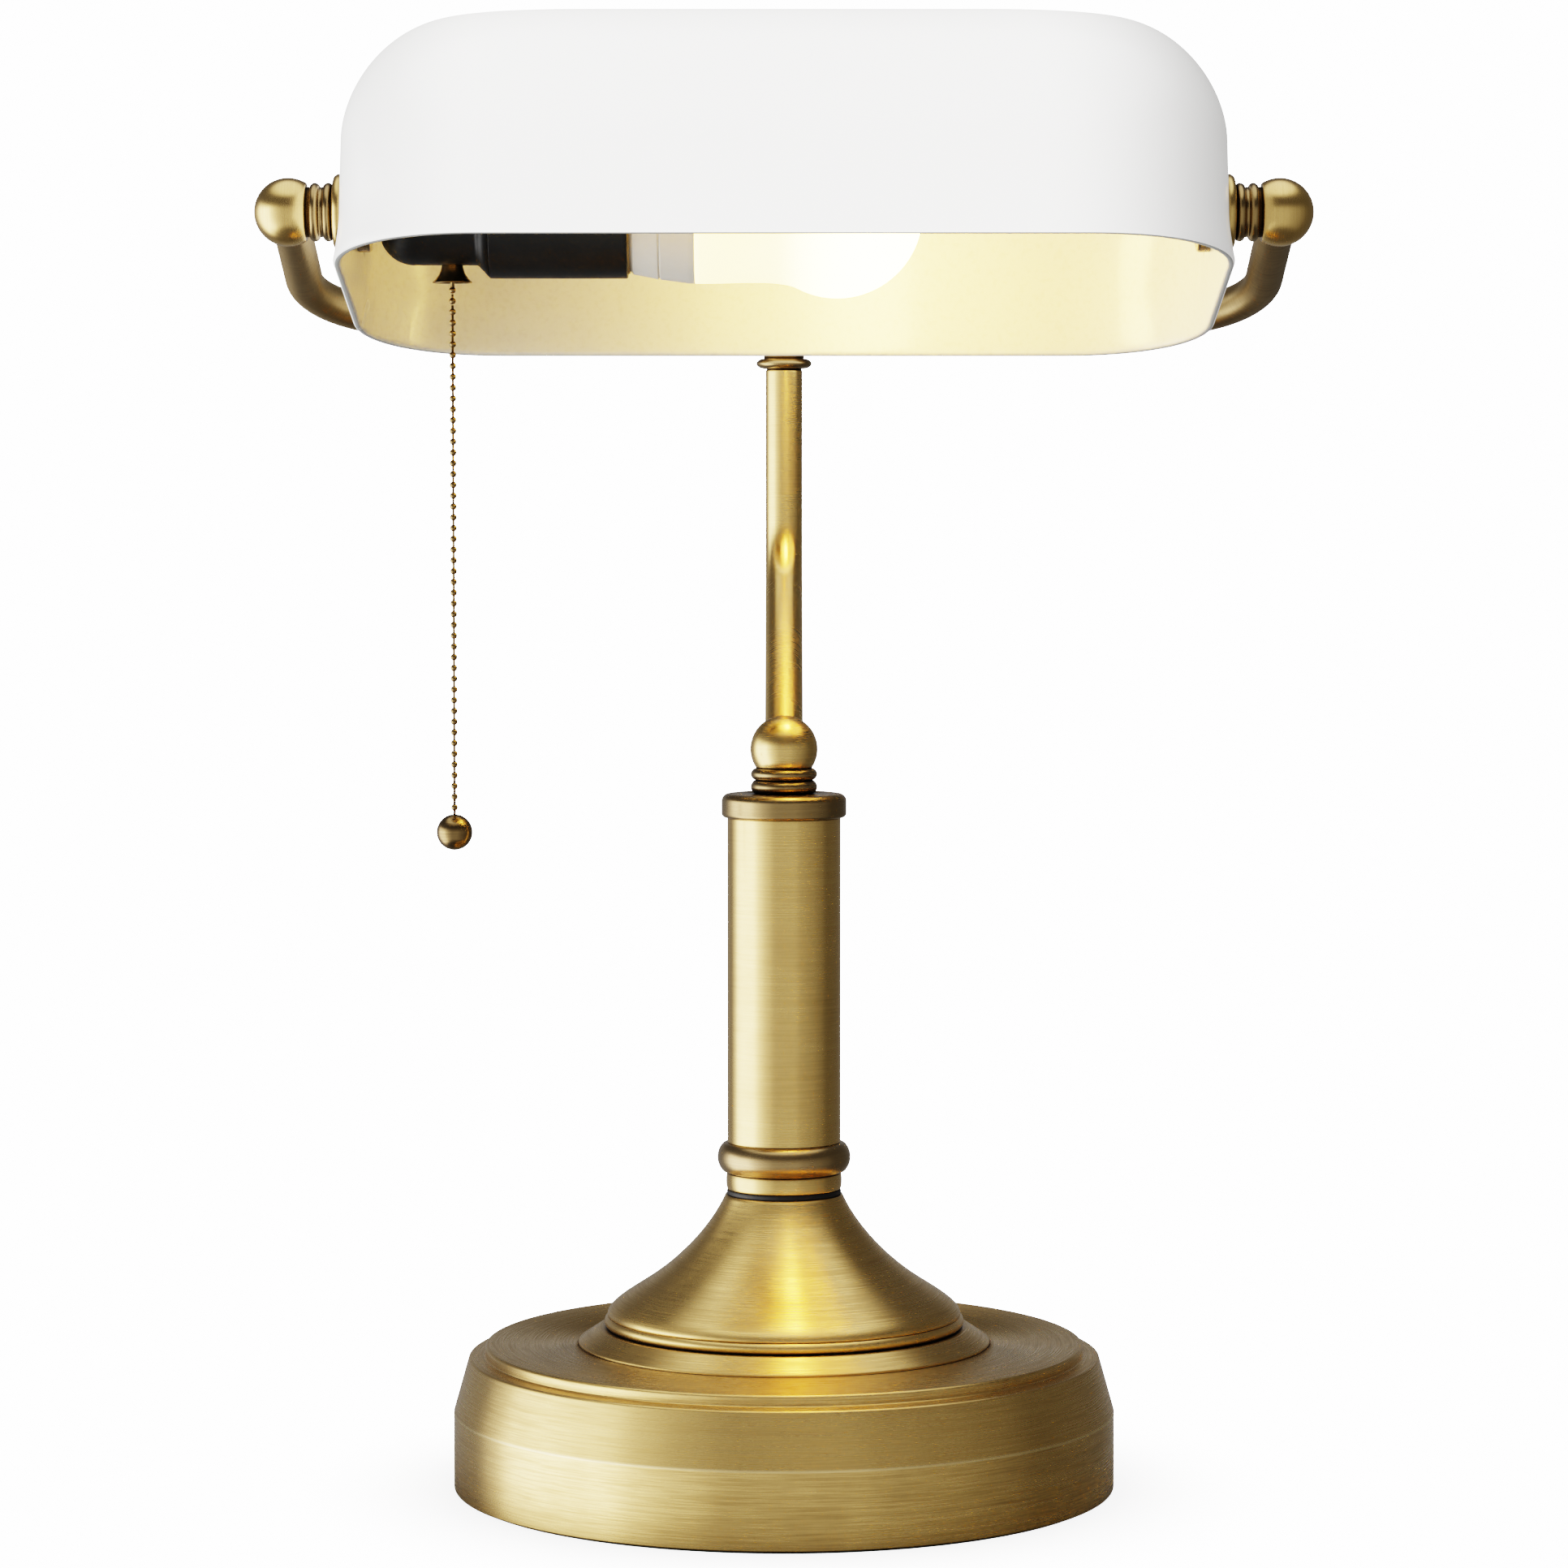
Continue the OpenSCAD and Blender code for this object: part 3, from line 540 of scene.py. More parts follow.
def glowing_globe():
    """Frosted lit glass that glows brighter towards its round end."""
    n = Nodes("lit_globe")
    coords = n.object_coords()
    frost = n.noise(coords, 1200.0, 3.0, 0.6)
    cloud = n.noise(coords, 40.0, 3.0, 0.5)
    n.link(n.mix(frost, (0.96, 0.95, 0.90), (0.90, 0.88, 0.80)), n.shader.inputs["Base Color"])
    n.link(n.ramp(cloud, 0.3, 0.7, 0.42, 0.55), n.shader.inputs["Roughness"])
    glow = n.mix(n.ramp(cloud, 0.3, 0.7), (1.0, 0.62, 0.13), (1.0, 0.65, 0.15))
    n.link(glow, n.shader.inputs["Emission Color"])
    n.link(n.ramp(n.parts(coords)["X"], -0.003, 0.023, 6.0, 44.0), n.shader.inputs["Emission Strength"])
    n.bump(frost, 0.1, 0.0001)
    return n.material


# Bright, usual and dark tone of each finish
GOLD = ((0.83, 0.565, 0.215), (0.69, 0.455, 0.160), (0.34, 0.21, 0.08))
SPUN_GOLD = ((0.83, 0.565, 0.215), (0.66, 0.435, 0.155), (0.32, 0.20, 0.08))
SATIN_GOLD = ((0.78, 0.53, 0.20), (0.64, 0.42, 0.150), (0.30, 0.19, 0.07))
KNOB_GOLD = ((0.74, 0.50, 0.19), (0.60, 0.395, 0.14), (0.28, 0.18, 0.07))
AGED_GOLD = ((0.34, 0.235, 0.105), (0.27, 0.185, 0.08), (0.11, 0.073, 0.036))
# Yoke arms: darker tones as painted shade, for the dark surroundings that the arms reflect
DULL_SHADED_GOLD = ((0.34, 0.24, 0.11), (0.26, 0.18, 0.08), (0.12, 0.08, 0.04))
BRONZE_BROWN = ((0.42, 0.295, 0.14), (0.33, 0.225, 0.105), (0.11, 0.072, 0.038))
CHAIN_BROWN = ((0.30, 0.20, 0.085), (0.17, 0.11, 0.045), (0.05, 0.033, 0.02))
PLAIN_YELLOW = ((0.86, 0.70, 0.38), (0.74, 0.58, 0.28), (0.4, 0.28, 0.1))
ZINC_GREY = ((0.72, 0.71, 0.70), (0.58, 0.57, 0.56), (0.30, 0.29, 0.28))

BRASS = brushed_metal("antique_brass", GOLD, 0.27, 0.4)
SATIN_BRASS = brushed_metal("satin_brass", SATIN_GOLD, 0.25, 0.35, anisotropy=0.3)
SPUN_BRASS = brushed_metal("spun_brass", SPUN_GOLD, 0.29, 1.2)
BASE_BRASS = brushed_metal("base_brass", SPUN_GOLD, 0.29, 1.2, crease=BASE_WALL)
# Painted shade on the knobs: slightly darker tones, and a wide reach of the occlusion darkening on the side that
# faces the glass
KNOB_BRASS = brushed_metal("knob_brass", KNOB_GOLD, 0.25, 0.35, anisotropy=0.5, painted_shade_reach=0.014)
AGED_BRASS = brushed_metal("aged_brass", AGED_GOLD, 0.25, 0.4, anisotropy=0.2)
# Dull, rough brass whose darker colour is painted shade
DULL_SHADED_BRASS = brushed_metal("dull_brass_painted_shade", DULL_SHADED_GOLD, 0.38, 0.5, anisotropy=0.4)
BRONZE = brushed_metal("dark_bronze", BRONZE_BROWN, 0.24, 0.4, anisotropy=0.3)
CHAIN_BRASS = brushed_metal("aged_chain_brass", CHAIN_BROWN, 0.22, 0.6, anisotropy=0.0)
INNER_BRASS = brushed_metal("plain_brass", PLAIN_YELLOW, 0.25, turned=False, anisotropy=0.0)
STEEL = brushed_metal("zinc_steel", ZINC_GREY, 0.35, turned=False, anisotropy=0.0, coat=0.0)
RUBBER = moulded("black_rubber", (0.018, 0.015, 0.014), (0.010, 0.009, 0.009), 0.5)
SOCKET = moulded("socket_lacquer", (0.0042, 0.0042, 0.0042), (0.0052, 0.0052, 0.0052), 0.48, bump=0.05)
FIBRE = moulded("fibre_sleeve", (0.48, 0.36, 0.18), (0.36, 0.26, 0.12), 0.8, 700.0, 0.3)
PHENOLIC = moulded("phenolic", (0.13, 0.07, 0.035), (0.08, 0.045, 0.022), 0.45)
CAST_IRON = moulded("cast_iron", (0.075, 0.075, 0.078), (0.045, 0.045, 0.045), 0.62, 500.0, 0.6, metallic=0.7)
COLLAR_PLASTIC = moulded("bulb_plastic", (0.72, 0.68, 0.60), (0.67, 0.63, 0.55), 0.5)
BULB_METAL = moulded("nickel_cap", (0.62, 0.61, 0.58), (0.5, 0.49, 0.46), 0.3, metallic=1.0)
WIRE = moulded("lead_sleeve", (0.40, 0.27, 0.08), (0.30, 0.19, 0.05), 0.5)
OPAL = opal_glass()
FELT = felt()
GLOBE = glowing_globe()

BY_SLOT = {
    "antique_brass": BRASS,
    "dark_bronze": BRONZE,
    "plain_brass": INNER_BRASS,
    "steel": STEEL,
    "cast_iron": CAST_IRON,
    "felt": FELT,
    "rubber": RUBBER,
    "opal_glass": OPAL,
    "socket_black": SOCKET,
    "insulator": FIBRE,
    "phenolic": PHENOLIC,
    "bulb_metal": BULB_METAL,
    "bulb_plastic": COLLAR_PLASTIC,
    "bulb_glow": GLOBE,
    "wire": WIRE,
}


def dress_cad_nodes():
    """Gives every CAD node its slot's material; those that a finer piece replaces are hidden later."""
    for row in record["subparts"]:
        mesh = frame["nodes"][row["node"]].data
        mesh.materials.clear()
        mesh.materials.append(BY_SLOT[row["material_slot"]])


# ---------------------------------------------------------------- base and column

# Holes through the stand's rings, the tee and the pivot pieces
ROD_HOLE = 5.2 * MM
STEM_HOLE = 4.3 * MM
NIPPLE_HOLE = 4.8 * MM


def make_base():
    """The pressed cover with its chamfer, step and cord hole, and the sloped ring on top of it."""
    low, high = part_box("base_shell")
    r, foot, top = half_width("base_shell"), low.z, high.z
    chamfer, step = 4.0 * MM, 8.2 * MM
    ledge_out, ledge_in = top - 3.2 * MM, top - 2.9 * MM
    sheet = 1.2 * MM
    mouth = 42 * MM
    outline = rounded([(r - 4 * sheet, foot, 0), (r - sheet, foot, 0.0002), (r, foot, 0.0004),
                       (r, BASE_WALL, 0.0009), (r - chamfer, ledge_out, 0.0007), (r - step, ledge_in, 0.0005),
                       (r - step, top, 0.0008), (mouth, top, 0)], 6)
    inside = [(mouth, top - sheet), (r - step - sheet, top - sheet), (r - step - sheet, ledge_in - sheet),
              (r - chamfer - 0.8 * sheet, ledge_out - sheet), (r - sheet, BASE_WALL - 0.0003),
              (r - sheet, foot)]
    shell = lathe("base_cover", outline[1:] + inside + [outline[1]], segments=256)
    cut_cord_hole(shell)
    install(shell, "stand", "base_shell", BASE_BRASS)

    low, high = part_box("step_ring")
    rim = half_width("step_ring")
    inner, slope_run, edge_height = 40 * MM, 5.6 * MM, 0.6 * MM
    bevel = rounded([(inner, low.z, 0), (rim, low.z, 0.0001), (rim, low.z + edge_height, 0.0006),
                     (rim - slope_run, high.z, 0.0009), (inner, high.z, 0)], 6)
    install(lathe("base_step_ring", bevel + [bevel[0]], segments=224), "stand", "step_ring", SPUN_BRASS)


def cut_cord_hole(shell):
    """Bores the hole for the cord bushing through the back of the base cover."""
    hole = middle("cord_grommet")
    radius, reach = 4.2 * MM, 10 * MM
    cut = lathe("cord_hole", [(radius, -reach), (radius, reach)], segments=48)
    cut.data.transform(Matrix.Translation(hole) @ Matrix.Rotation(math.radians(90), 4, "X"))
    carve(shell, cut)


def carve(piece, cutter):
    """Cuts the cutter's shape out of the piece, and removes the cutter."""
    change = piece.modifiers.new("cut", "BOOLEAN")
    change.operation = "DIFFERENCE"
    change.solver = "EXACT"
    change.object = cutter
    bpy.context.view_layer.objects.active = piece
    with bpy.context.temp_override(object=piece, active_object=piece):
        bpy.ops.object.modifier_apply(modifier=change.name)
    bpy.data.objects.remove(cutter)
    face_outwards(piece.data)


def ring_outline(node, end_radius, power=0.6, bore=ROD_HOLE):
    """Outline of a ring with a rounded rim that fills the CAD node's box."""
    low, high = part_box(node)
    rim = bulge_points(low.z, high.z, end_radius, half_width(node), power, 20)
    return [(bore, low.z)] + rim + [(bore, high.z), (bore, low.z)]


def make_bell():
    """The rounded foot ring, and the trumpet-shaped cover whose flank is two curves that meet at the bend."""
    outline = ring_outline("foot_ring", half_width("foot_ring") - 1.1 * MM, bore=41 * MM)
    install(lathe("bell_foot_ring", outline, segments=192), "stand", "foot_ring", BRASS)

    low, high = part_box("bell")
    r, top, lip = half_width("bell"), high.z, low.z
    throat = (0.0153, top)
    bend = (0.037, 0.0535)
    lower = bezier((r - 0.0004, lip), (r + 0.00013, lip + 0.0022), (0.0423, 0.0501), bend, 20)
    upper = bezier(bend, (0.0272, 0.0596), (0.019, 0.0686), throat, 32)
    flank = lower + upper[1:]
    wall, roof = 1.3 * MM, 0.8 * MM
    outer = flank + [(throat[0] - 0.0003, top), (ROD_HOLE, top)]
    inner = [(ROD_HOLE, top - roof)] + [(a - wall, max(lip, h - roof)) for a, h in reversed(flank)]
    install(lathe("bell_cover", outer + inner + [outer[0]], segments=192), "stand", "bell", SPUN_BRASS)


def make_column():
    """The turned rings, shaft, cap and ball of the column; returns the ball's centre."""
    square, round_edge = 0.25, 0.6
    rings = (("neck_gasket", "gasket_ring", 14.5 * MM, square, RUBBER),
             ("neck_band", "neck_ring", 14.45 * MM, square, BRASS),
             ("lower_bead", "ring_lower", 7.4 * MM, round_edge, AGED_BRASS),
             ("upper_bead", "ring_upper", 7.4 * MM, round_edge, AGED_BRASS))
    for name, node, end_radius, power, material in rings:
        install(lathe(name, ring_outline(node, end_radius, power)), "stand", node, material)

    low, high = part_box("lower_collar")
    r, top = half_width("lower_collar"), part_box("column_tube")[0].z
    end_radius, spigot = 15.0 * MM, 13.8 * MM
    outline = [(ROD_HOLE, low.z)] + bulge_points(low.z, top, end_radius, r, 0.5, 24)
    outline += [(spigot, top), (spigot, high.z), (ROD_HOLE, high.z), (ROD_HOLE, low.z)]
    install(lathe("column_collar", outline), "stand", "lower_collar", BRONZE)

    low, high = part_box("column_tube")
    r = half_width("column_tube")
    inner, edge = r - 1.0 * MM, 0.2 * MM
    outline = rounded([(inner, low.z, 0), (r, low.z, edge), (r, high.z, edge), (inner, high.z, 0)])
    install(lathe("column_shaft", outline + [outline[0]], segments=192), "stand", "column_tube", BRASS)

    low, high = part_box("column_cap")
    r, seat = half_width("column_cap"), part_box("column_tube")[1].z
    plug = 13.7 * MM
    band = rounded([(plug, seat, 0), (r, seat, 0.0017), (r, high.z, 0.0019), (ROD_HOLE, high.z, 0)], 8)
    outline = [(ROD_HOLE, low.z), (plug, low.z)] + band + [(ROD_HOLE, low.z)]
    install(lathe("column_cap_ring", outline), "stand", "column_cap", AGED_BRASS)

    low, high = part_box("column_ball")
    r = half_width("column_ball")
    centre = high.z - r
    foot = math.asin((low.z - centre) / r)
    outline = [(5.1 * MM, low.z)] + arc(centre, r, foot, math.pi / 2, 48)
    install(lathe("column_finial_ball", outline), "stand", "column_ball", SATIN_BRASS)
    return Vector((0, 0, centre))


# ---------------------------------------------------------------- stem and yoke

# The stem leans back and bends upright; each yoke arm bows gently and then turns a tight corner
STEM_LEAN = math.radians(52)
STEM_BEND = 25 * MM
YOKE_CORNER = 27 * MM
YOKE_BOW = math.radians(9)
PIVOT = Vector(joints["shade_tilt"]["pos_m"])
ON_PIVOT = (0, PIVOT.y, PIVOT.z)


def make_stem(ball):
    """The swan neck from the column's ball up to the tee behind the shade; returns the tee's centre."""
    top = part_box("stem_tube")[1]
    back = middle("stem_nipple").y
    radius = half_width("stem_tube")
    run = (back - STEM_BEND * (1 - math.cos(STEM_LEAN))) / math.sin(STEM_LEAN)
    upright = ball.z + run * math.cos(STEM_LEAN) + STEM_BEND * math.sin(STEM_LEAN)
    lean = Vector((0, math.sin(STEM_LEAN), math.cos(STEM_LEAN)))
    path = [ball + lean * d for d in (0.0035, 0.008, 0.02, 0.035, 0.05, run - 0.003)]
    for i in range(25):
        a = -STEM_LEAN * (1 - i / 24)
        path.append(Vector((0, back - STEM_BEND * (1 - math.cos(a)), upright + STEM_BEND * math.sin(a))))
    heights = [upright + rise for rise in (0.003, 0.015, 0.027)] + [top.z - 0.0008, top.z]
    path += [Vector((0, back, z)) for z in heights]
    install(tube("swan_neck", path, radius), "stand", "stem_tube", SATIN_BRASS)

    low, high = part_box("stem_ring")
    neck, ledge, end_radius = 4.7 * MM, low.z + 0.3 * MM, 5.5 * MM
    outline = [(STEM_HOLE, low.z), (neck, low.z), (neck, ledge)]
    outline += bulge_points(ledge, high.z, end_radius, half_width("stem_ring"), 0.5, 20)
    outline += [(STEM_HOLE, high.z), (STEM_HOLE, low.z)]
    install(lathe("stem_collar", outline, centre=(0, back, 0)), "stand", "stem_ring", AGED_BRASS)

    low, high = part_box("yoke_hub")
    r = half_width("yoke_hub", 1)
    centre = high.z - r
    foot_radius = 5.4 * MM
    outline = [(STEM_HOLE, low.z), (foot_radius, low.z)]
    outline += arc(centre, r, -math.acos(foot_radius / r), math.pi / 2, 40)
    install(lathe("yoke_tee", outline, centre=(0, back, 0)), "stand", "yoke_hub", BRASS)
    return Vector((0, back, centre))


def make_yoke(hub):
    """The two bowed arms from the tee, round a corner each, to the balls at the shade's pivots. They start a
    hair apart and stop inside the balls."""
    back = Vector((0, hub.y - PIVOT.y, hub.z - PIVOT.z))
    reach = back.length
    back.normalize()
    ball = half_width("knob_ball_right", 2)
    knob_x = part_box("knob_ball_right")[1].x - ball
    corner_x = knob_x - YOKE_CORNER
    bow_end = corner_x + YOKE_CORNER * math.sin(YOKE_BOW)
    bow = bow_end / math.sin(YOKE_BOW)
    corner_s = reach - bow * (1 - math.cos(YOKE_BOW)) - YOKE_CORNER * math.cos(YOKE_BOW)
    radius = half_width("stem_tube")
    path = []
    apart, stop = 0.0045, 5 * MM
    for i in range(28):
        a = YOKE_BOW * (apart + (1 - apart) * i / 27)
        path.append((bow * math.sin(a), reach - bow + bow * math.cos(a)))
    for i in range(1, 33):
        a = (math.pi / 2 - YOKE_BOW) * (1 - i / 32)
        path.append((corner_x + YOKE_CORNER * math.cos(a), corner_s + YOKE_CORNER * math.sin(a)))
    path += [(knob_x, corner_s * k) for k in (0.8, 0.6, 0.4, 0.2)] + [(knob_x, stop)]
    for side, label in ((-1, "left"), (1, "right")):
        points = [Vector((side * x, PIVOT.y + s * back.y, PIVOT.z + s * back.z)) for x, s in path]
        install(tube(f"yoke_arm_{label}", points, radius), "stand", f"yoke_tube_{label}", DULL_SHADED_BRASS)
        make_pivot(side, label, knob_x, ball)


def make_pivot(side, label, knob_x, ball):
    """One side's ball, turned beads, flange and the nut inside the glass, all on the pivot's axis."""
    axis = "X" if side > 0 else "-X"
    flat = 4.65 * MM
    outline = [(NIPPLE_HOLE, knob_x - flat)] + arc(knob_x, ball, math.asin(-flat / ball), math.pi / 2, 48)
    install(lathe(f"pivot_knob_{label}", outline, ON_PIVOT, axis), "stand", f"knob_ball_{label}", KNOB_BRASS)

    near, far = span_out(f"knob_rings_{label}")
    groove, bead = 6.4 * MM, half_width(f"knob_rings_{label}", 2)
    outline = [(NIPPLE_HOLE, near)]
    for start in (near + 0.1 * MM, near + 3.5 * MM):
        outline += bulge_points(start, start + 2.6 * MM, groove, bead, 0.55, 16)
    outline += [(groove, far), (NIPPLE_HOLE, far), (NIPPLE_HOLE, near)]
    beads = lathe(f"pivot_beads_{label}", outline, ON_PIVOT, axis)
    install(beads, "stand", f"knob_rings_{label}", AGED_BRASS)

    near, far = span_out(f"flange_{label}")
    rim = half_width(f"flange_{label}", 2)
    outline = [(NIPPLE_HOLE, near)] + bulge_points(near, far, rim - 1.2 * MM, rim, 0.5, 16)
    outline += [(NIPPLE_HOLE, far), (NIPPLE_HOLE, near)]
    install(lathe(f"pivot_flange_{label}", outline, ON_PIVOT, axis), "stand", f"flange_{label}", KNOB_BRASS)

    near, far = span_out(f"inner_nut_{label}")
    rim = half_width(f"inner_nut_{label}", 2)
    outline = rounded([(NIPPLE_HOLE, near, 0), (rim, near, 0.0007), (rim, far, 0.0003),
                       (NIPPLE_HOLE, far, 0)])
    outline += [outline[0]]
    install(lathe(f"lock_nut_{label}", outline, ON_PIVOT, axis), "stand", f"inner_nut_{label}", BRONZE)


# ---------------------------------------------------------------- shade

# The shade in its own frame, in millimetres, where w is the height above the pivot axis before it is tilted
# back. The ends stand straight from flare_w to end_w and then curve in to the ridge; the front and the back
# curve in from side_w upwards.
SHADE = {"end": 110.95, "flare_w": -10.0, "end_w": 10.6, "end_power": 1.75, "ridge": 77.0, "side_w": -8.0,
         "side_power": 2.1, "corner": 38.0, "share": 0.54, "corner_power": 2.2, "rise": 50.1, "drop": 22.5,
         "depth": 63.0, "tilt": math.radians(12.4), "glass": 2.0, "hole": 5.6}


def shade_length(w, t):
    """Half the length at height w of the surface that lies t inside the outer one."""
    s = SHADE
    u = max(0, w - s["end_w"]) / (s["rise"] - t - s["end_w"])
    flare = max(0, s["flare_w"] - w) / (s["drop"] + s["flare_w"])
    ridge = s["ridge"] - t
    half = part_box("shade")[1].x / MM
    curve = max(0, 1 - u ** s["end_power"]) ** (1 / s["end_power"])
    return ridge + (s["end"] - t - ridge) * curve + (half - s["end"]) * flare ** 1.5


def shade_depth(w, t):
    """Half the depth at height w of the surface that lies t inside the outer one."""
    s = SHADE
    u = max(0, w - s["side_w"]) / (s["rise"] - t - s["side_w"])
    return (s["depth"] - t) * max(0, 1 - u ** s["side_power"]) ** (1 / s["side_power"])


def shade_ring(w, t, steps):
    """Points around the shade at height w: four rounded corners with straight runs between them."""
    s = SHADE
    length, depth = shade_length(w, t), shade_depth(w, t)
    ring = []
    for k, (sx, sy) in enumerate(((1, 1), (-1, 1), (-1, -1), (1, -1))):
        for i in range(steps + 1):
            a = math.pi / 2 * (i if k % 2 == 0 else steps - i) / steps
            c = abs(math.cos(a)) ** (2 / s["corner_power"])
            d = abs(math.sin(a)) ** (2 / s["corner_power"])
            out = length - s["corner"] * (1 - c)
            ring.append((sx * out, sy * depth * (1 - s["share"] * (1 - d)), w))
    return ring


def shade_levels(t):
    """Heights of the rings, from just above the rounded edge to the flat top, closer near the top."""
    s = SHADE
    foot, side, top = 1.0 - s["drop"], s["side_w"], s["rise"] - t
    straight = [foot + (side - foot) * i / 8 for i in range(8)]
    return straight + [side + (top - side) * math.sin(math.radians(88.5) * i / 56) for i in range(57)]


def shade_edge(outer, inner):
    """Rings of the half-round edge between the lowest outer ring and the lowest inner one."""
    edge = []
    for k in range(1, 8):
        a = math.pi * k / 8
        share = (1 - math.cos(a)) / 2
        edge.append([(x0 + (x1 - x0) * share, y0 + (y1 - y0) * share, w - math.sin(a))
                     for (x0, y0, w), (x1, y1, _) in zip(outer, inner)])
    return edge


def make_shade():
    """The glass: an outer skin, a rounded edge and an inner skin in one mesh, with its layer marked for the
    material, bored for the pivots and tilted back."""
    s = SHADE
    steps = 40
    n = 4 * (steps + 1)
    outer = [shade_ring(w, 0, steps) for w in shade_levels(0)]
    inner = [shade_ring(w, s["glass"], steps) for w in shade_levels(s["glass"])]
    rim = shade_edge(outer[0], inner[0])
    rings = list(reversed(outer)) + rim + inner
    layers = [0.0] * (len(outer) + 2) + [0.5] * (len(rim) - 4) + [1.0] * (len(inner) + 2)
    verts = [Vector(p) * MM for ring in rings for p in ring]
    faces = []
    for j in range(len(rings) - 1):
        for i in range(n):
            k = (i + 1) % n
            faces.append((j * n + i, (j + 1) * n + i, (j + 1) * n + k, j * n + k))
    last = (len(rings) - 1) * n
    for i in range(n // 2 - 1):
        faces.append((i, i + 1, n - 2 - i, n - 1 - i))
        faces.append((last + n - 1 - i, last + n - 2 - i, last + i + 1, last + i))
    shade = new_object("glass_shade", verts, faces)
    layer = shade.data.attributes.new("layer", "FLOAT", "POINT")
    layer.data.foreach_set("value", [value for value in layers for _ in range(n)])
    hole, start, end = s["hole"] * MM, 90 * MM, 130 * MM
    for axis in ("-X", "X"):
        carve(shade, lathe("pivot_hole", [(hole, start), (hole, end)], axis=axis, segments=64))
    shade.data.transform(Matrix.Translation(PIVOT) @ Matrix.Rotation(-s["tilt"], 4, "X"))
    shade.data.set_sharp_from_angle(angle=math.radians(40))
    install(shade, "shade_body", "shade", OPAL)


# ---------------------------------------------------------------- socket, bulb and chain

def make_socket():
    """The socket's rounded end cap and sleeve, on the pivot's axis, and the chain's flared guide below."""
    low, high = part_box("socket_cap")
    body_low, body_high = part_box("socket_body")
    cap_r, body_r = 13.53 * MM, half_width("socket_body", 2)
    turn, wall, cone = 9 * MM, 1 * MM, high.x - 3.2 * MM
    outer = [(NIPPLE_HOLE, low.x)]
    for i in range(21):
        a = math.pi / 2 * i / 20
        outer.append((cap_r - turn + turn * math.sin(a), low.x + turn - turn * math.cos(a)))
    outer += rounded([(cap_r, low.x + turn + wall, 0), (cap_r, cone, 0.0012), (body_r, high.x, 0)], 6)
    inner = [(body_r - wall, high.x), (cap_r - wall, cone), (cap_r - wall, low.x + turn),
             (cap_r - turn, low.x + wall), (NIPPLE_HOLE, low.x + wall)]
    install(lathe("socket_end_cap", outer + inner + [outer[0]], ON_PIVOT, "X"), "stand", "socket_cap", SOCKET)
    outline = rounded([(body_r - wall, body_low.x, 0), (body_r, body_low.x, 0.0003),
                       (body_r, body_high.x, 0.0004), (body_r - wall, body_high.x, 0)])
    install(lathe("socket_sleeve", outline + [outline[0]], ON_PIVOT, "X"), "stand", "socket_body", SOCKET)

    low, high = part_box("chain_bell")
    centre = middle("chain_bell")
    flare, bore, wall = half_width("chain_bell"), 1.5 * MM, 0.7 * MM
    curve = bezier((0.0026, high.z), (0.0028, high.z - 0.0024), (0.0034, low.z + 0.0018),
                   (flare, low.z + 0.0002), 20)
    outline = [(bore, high.z)] + curve + [(flare, low.z), (flare - 0.0005, low.z)]
    outline += [(max(bore, r - wall), h - 0.0002) for r, h in reversed(curve[3:-1])]
    outline += [(bore, high.z - 0.001), outline[0]]
    guide = lathe("chain_guide", outline, (centre.x, centre.y, 0), segments=96)
    install(guide, "stand", "chain_bell", CHAIN_BRASS)


def make_bulb():
    """The bulb's collar with its seam, and the glass: a neck that swells into a round globe."""
    low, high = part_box("bulb_collar")
    start, end, r = low.x, high.x, half_width("bulb_collar", 2)
    seam = start + 0.46 * (end - start)
    screw_r, inner_r, floor = 11 * MM, 15 * MM, start + 2 * MM
    foot_r, shoulder_r = 14.6 * MM, 15.9 * MM
    seam_r, groove_r, lip, gap = 17.1 * MM, 16.8 * MM, 0.35 * MM, 0.1 * MM
    outline = rounded([(screw_r, start, 0), (foot_r, start, 0.0004), (shoulder_r, start + 0.0012, 0.0008),
                       (seam_r, seam - lip, 0.0001), (groove_r, seam - gap, 0.0001),
                       (groove_r, seam + gap, 0.0001), (seam_r + gap, seam + lip, 0.0001),
                       (r - 0.00005, end - 0.0016, 0.0005), (r, end, 0.0003), (inner_r, end, 0)], 4)
    outline += [(inner_r, floor), (screw_r, floor), outline[0]]
    install(lathe("bulb_base", outline, ON_PIVOT, "X"), "bulb", "bulb_collar", COLLAR_PLASTIC)

    low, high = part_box("bulb_globe")
    globe_r = half_width("bulb_globe", 2)
    centre = high.x - globe_r
    join = math.radians(-28)
    dome = arc(centre, globe_r, join, math.pi / 2, 28)
    neck_r, handle = 18.2 * MM, 5 * MM
    before = (dome[0][0] + handle * math.sin(join), dome[0][1] - handle * math.cos(join))
    neck = bezier((neck_r, low.x), (neck_r + 0.0003, low.x + 0.0067), before, dome[0], 16)
    install(lathe("bulb_glass", neck + dome[1:], ON_PIVOT, "X", 96), "bulb", "bulb_globe", GLOBE)


def sphere_mesh(builder, centre, radius, rings=16, sides=24):
    """One bead of the chain."""
    shape = bmesh.ops.create_uvsphere(builder, u_segments=sides, v_segments=rings, radius=radius)
    bmesh.ops.translate(builder, verts=shape["verts"], vec=centre)


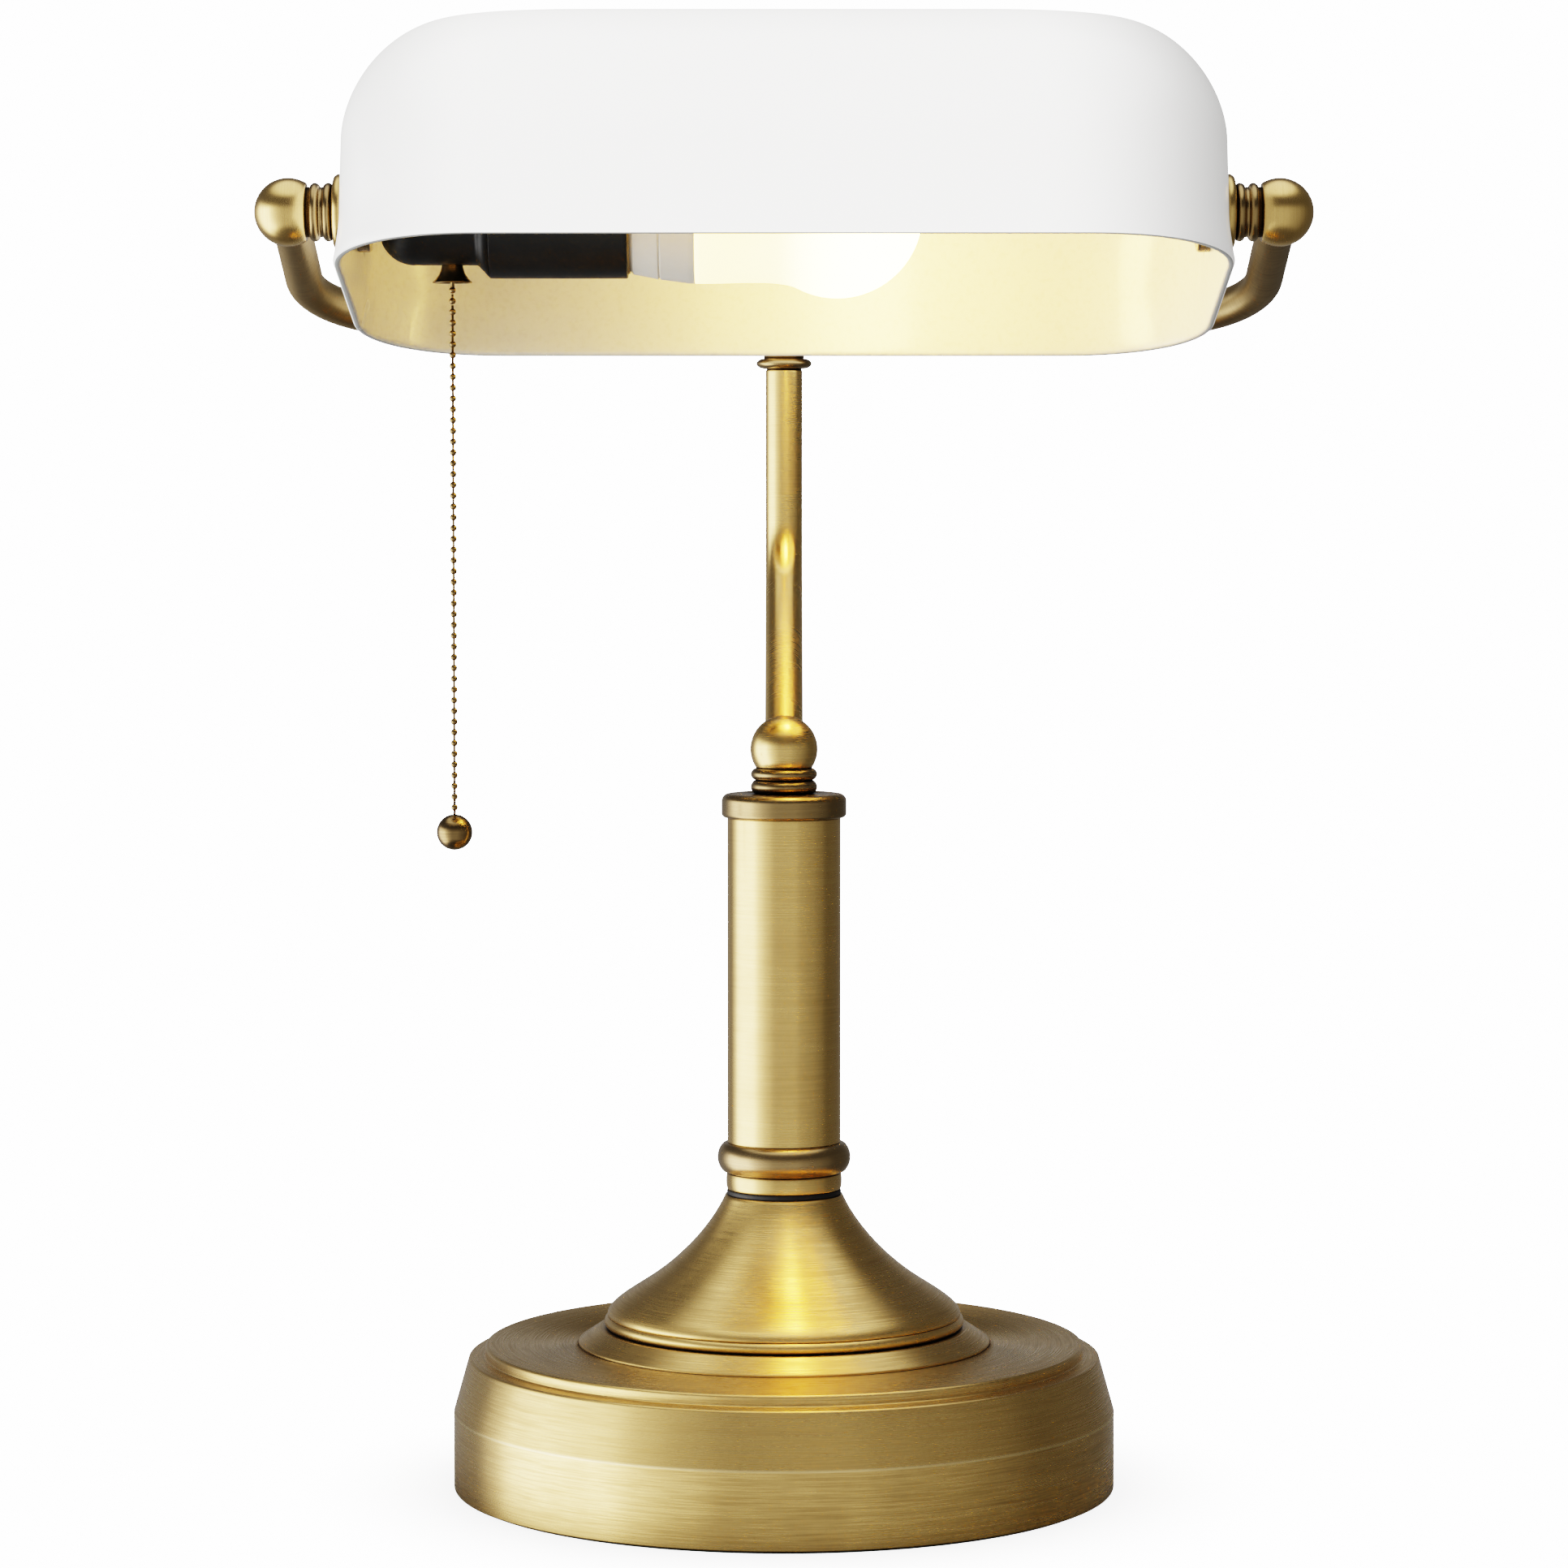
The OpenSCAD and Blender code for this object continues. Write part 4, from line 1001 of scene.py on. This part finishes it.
def finish_builder(name, builder):
    """Turns the builder's mesh into a smooth piece with the values that brushed metal reads."""
    mesh = bpy.data.meshes.new(name)
    builder.to_mesh(mesh)
    builder.free()
    mesh.shade_smooth()
    for label in ("lay", "grain"):
        layer = mesh.attributes.new(label, "FLOAT_VECTOR", "POINT")
        for vertex, value in zip(mesh.vertices, layer.data):
            value.vector = vertex.co * 1000 if label == "lay" else Vector((0, 0, 1))
    piece = bpy.data.objects.new(name, mesh)
    scene.collection.objects.link(piece)
    return piece


def add_wire(builder, top, bottom, radius):
    """A straight upright wire between two points."""
    place = Matrix.Translation((top + bottom) / 2)
    bmesh.ops.create_cone(builder, cap_ends=True, segments=12, radius1=radius, radius2=radius,
                          depth=top.z - bottom.z, matrix=place)


def make_chain():
    """The bead on the switch lever, the loose top bead, the hanging beads on their wires, and the ball."""
    x, y, _ = middle("pull_chain")
    lever_low, lever_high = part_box("pull_lever")
    ball_low, ball_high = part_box("pull_ball")
    bead, ball = half_width("pull_chain"), half_width("pull_ball")
    stub, wire, play = 0.5 * MM, 0.3 * MM, 0.2 * MM
    first = Vector((x, y, lever_low.z + 1 * MM))
    second = Vector((x, y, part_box("chain_link")[0].z + bead))
    pitch = first.z - second.z
    last_bead = ball_high.z + 1.86 * MM
    count = round((second.z - last_bead) / pitch)

    builder = bmesh.new()
    sphere_mesh(builder, first, bead)
    add_wire(builder, Vector((x, y, lever_high.z)), first, stub)
    install(finish_builder("pull_stub", builder), "lever", "pull_lever", CHAIN_BRASS)

    builder = bmesh.new()
    sphere_mesh(builder, second, bead)
    add_wire(builder, Vector((x, y, first.z - bead - play)), second, wire)
    install(finish_builder("chain_top_bead", builder), "link", "chain_link", CHAIN_BRASS)

    builder = bmesh.new()
    for k in range(1, count + 1):
        sphere_mesh(builder, second - Vector((0, 0, k * pitch)), bead)
    add_wire(builder, Vector((x, y, second.z - bead - play)), Vector((x, y, ball_high.z - 0.001)), wire)
    install(finish_builder("bead_chain", builder), "chain", "pull_chain", CHAIN_BRASS)

    builder = bmesh.new()
    sphere_mesh(builder, Vector((x, y, ball_low.z + ball)), ball, 48, 64)
    install(finish_builder("chain_ball", builder), "chain", "pull_ball", CHAIN_BRASS)


add_camera()
scene.view_settings.view_transform = "Filmic"
scene.view_settings.look = "High Contrast"
add_world()
add_floor()
dress_cad_nodes()
make_base()
make_bell()
column_ball = make_column()
tee = make_stem(column_ball)
make_yoke(tee)
make_shade()
make_socket()
make_bulb()
make_chain()
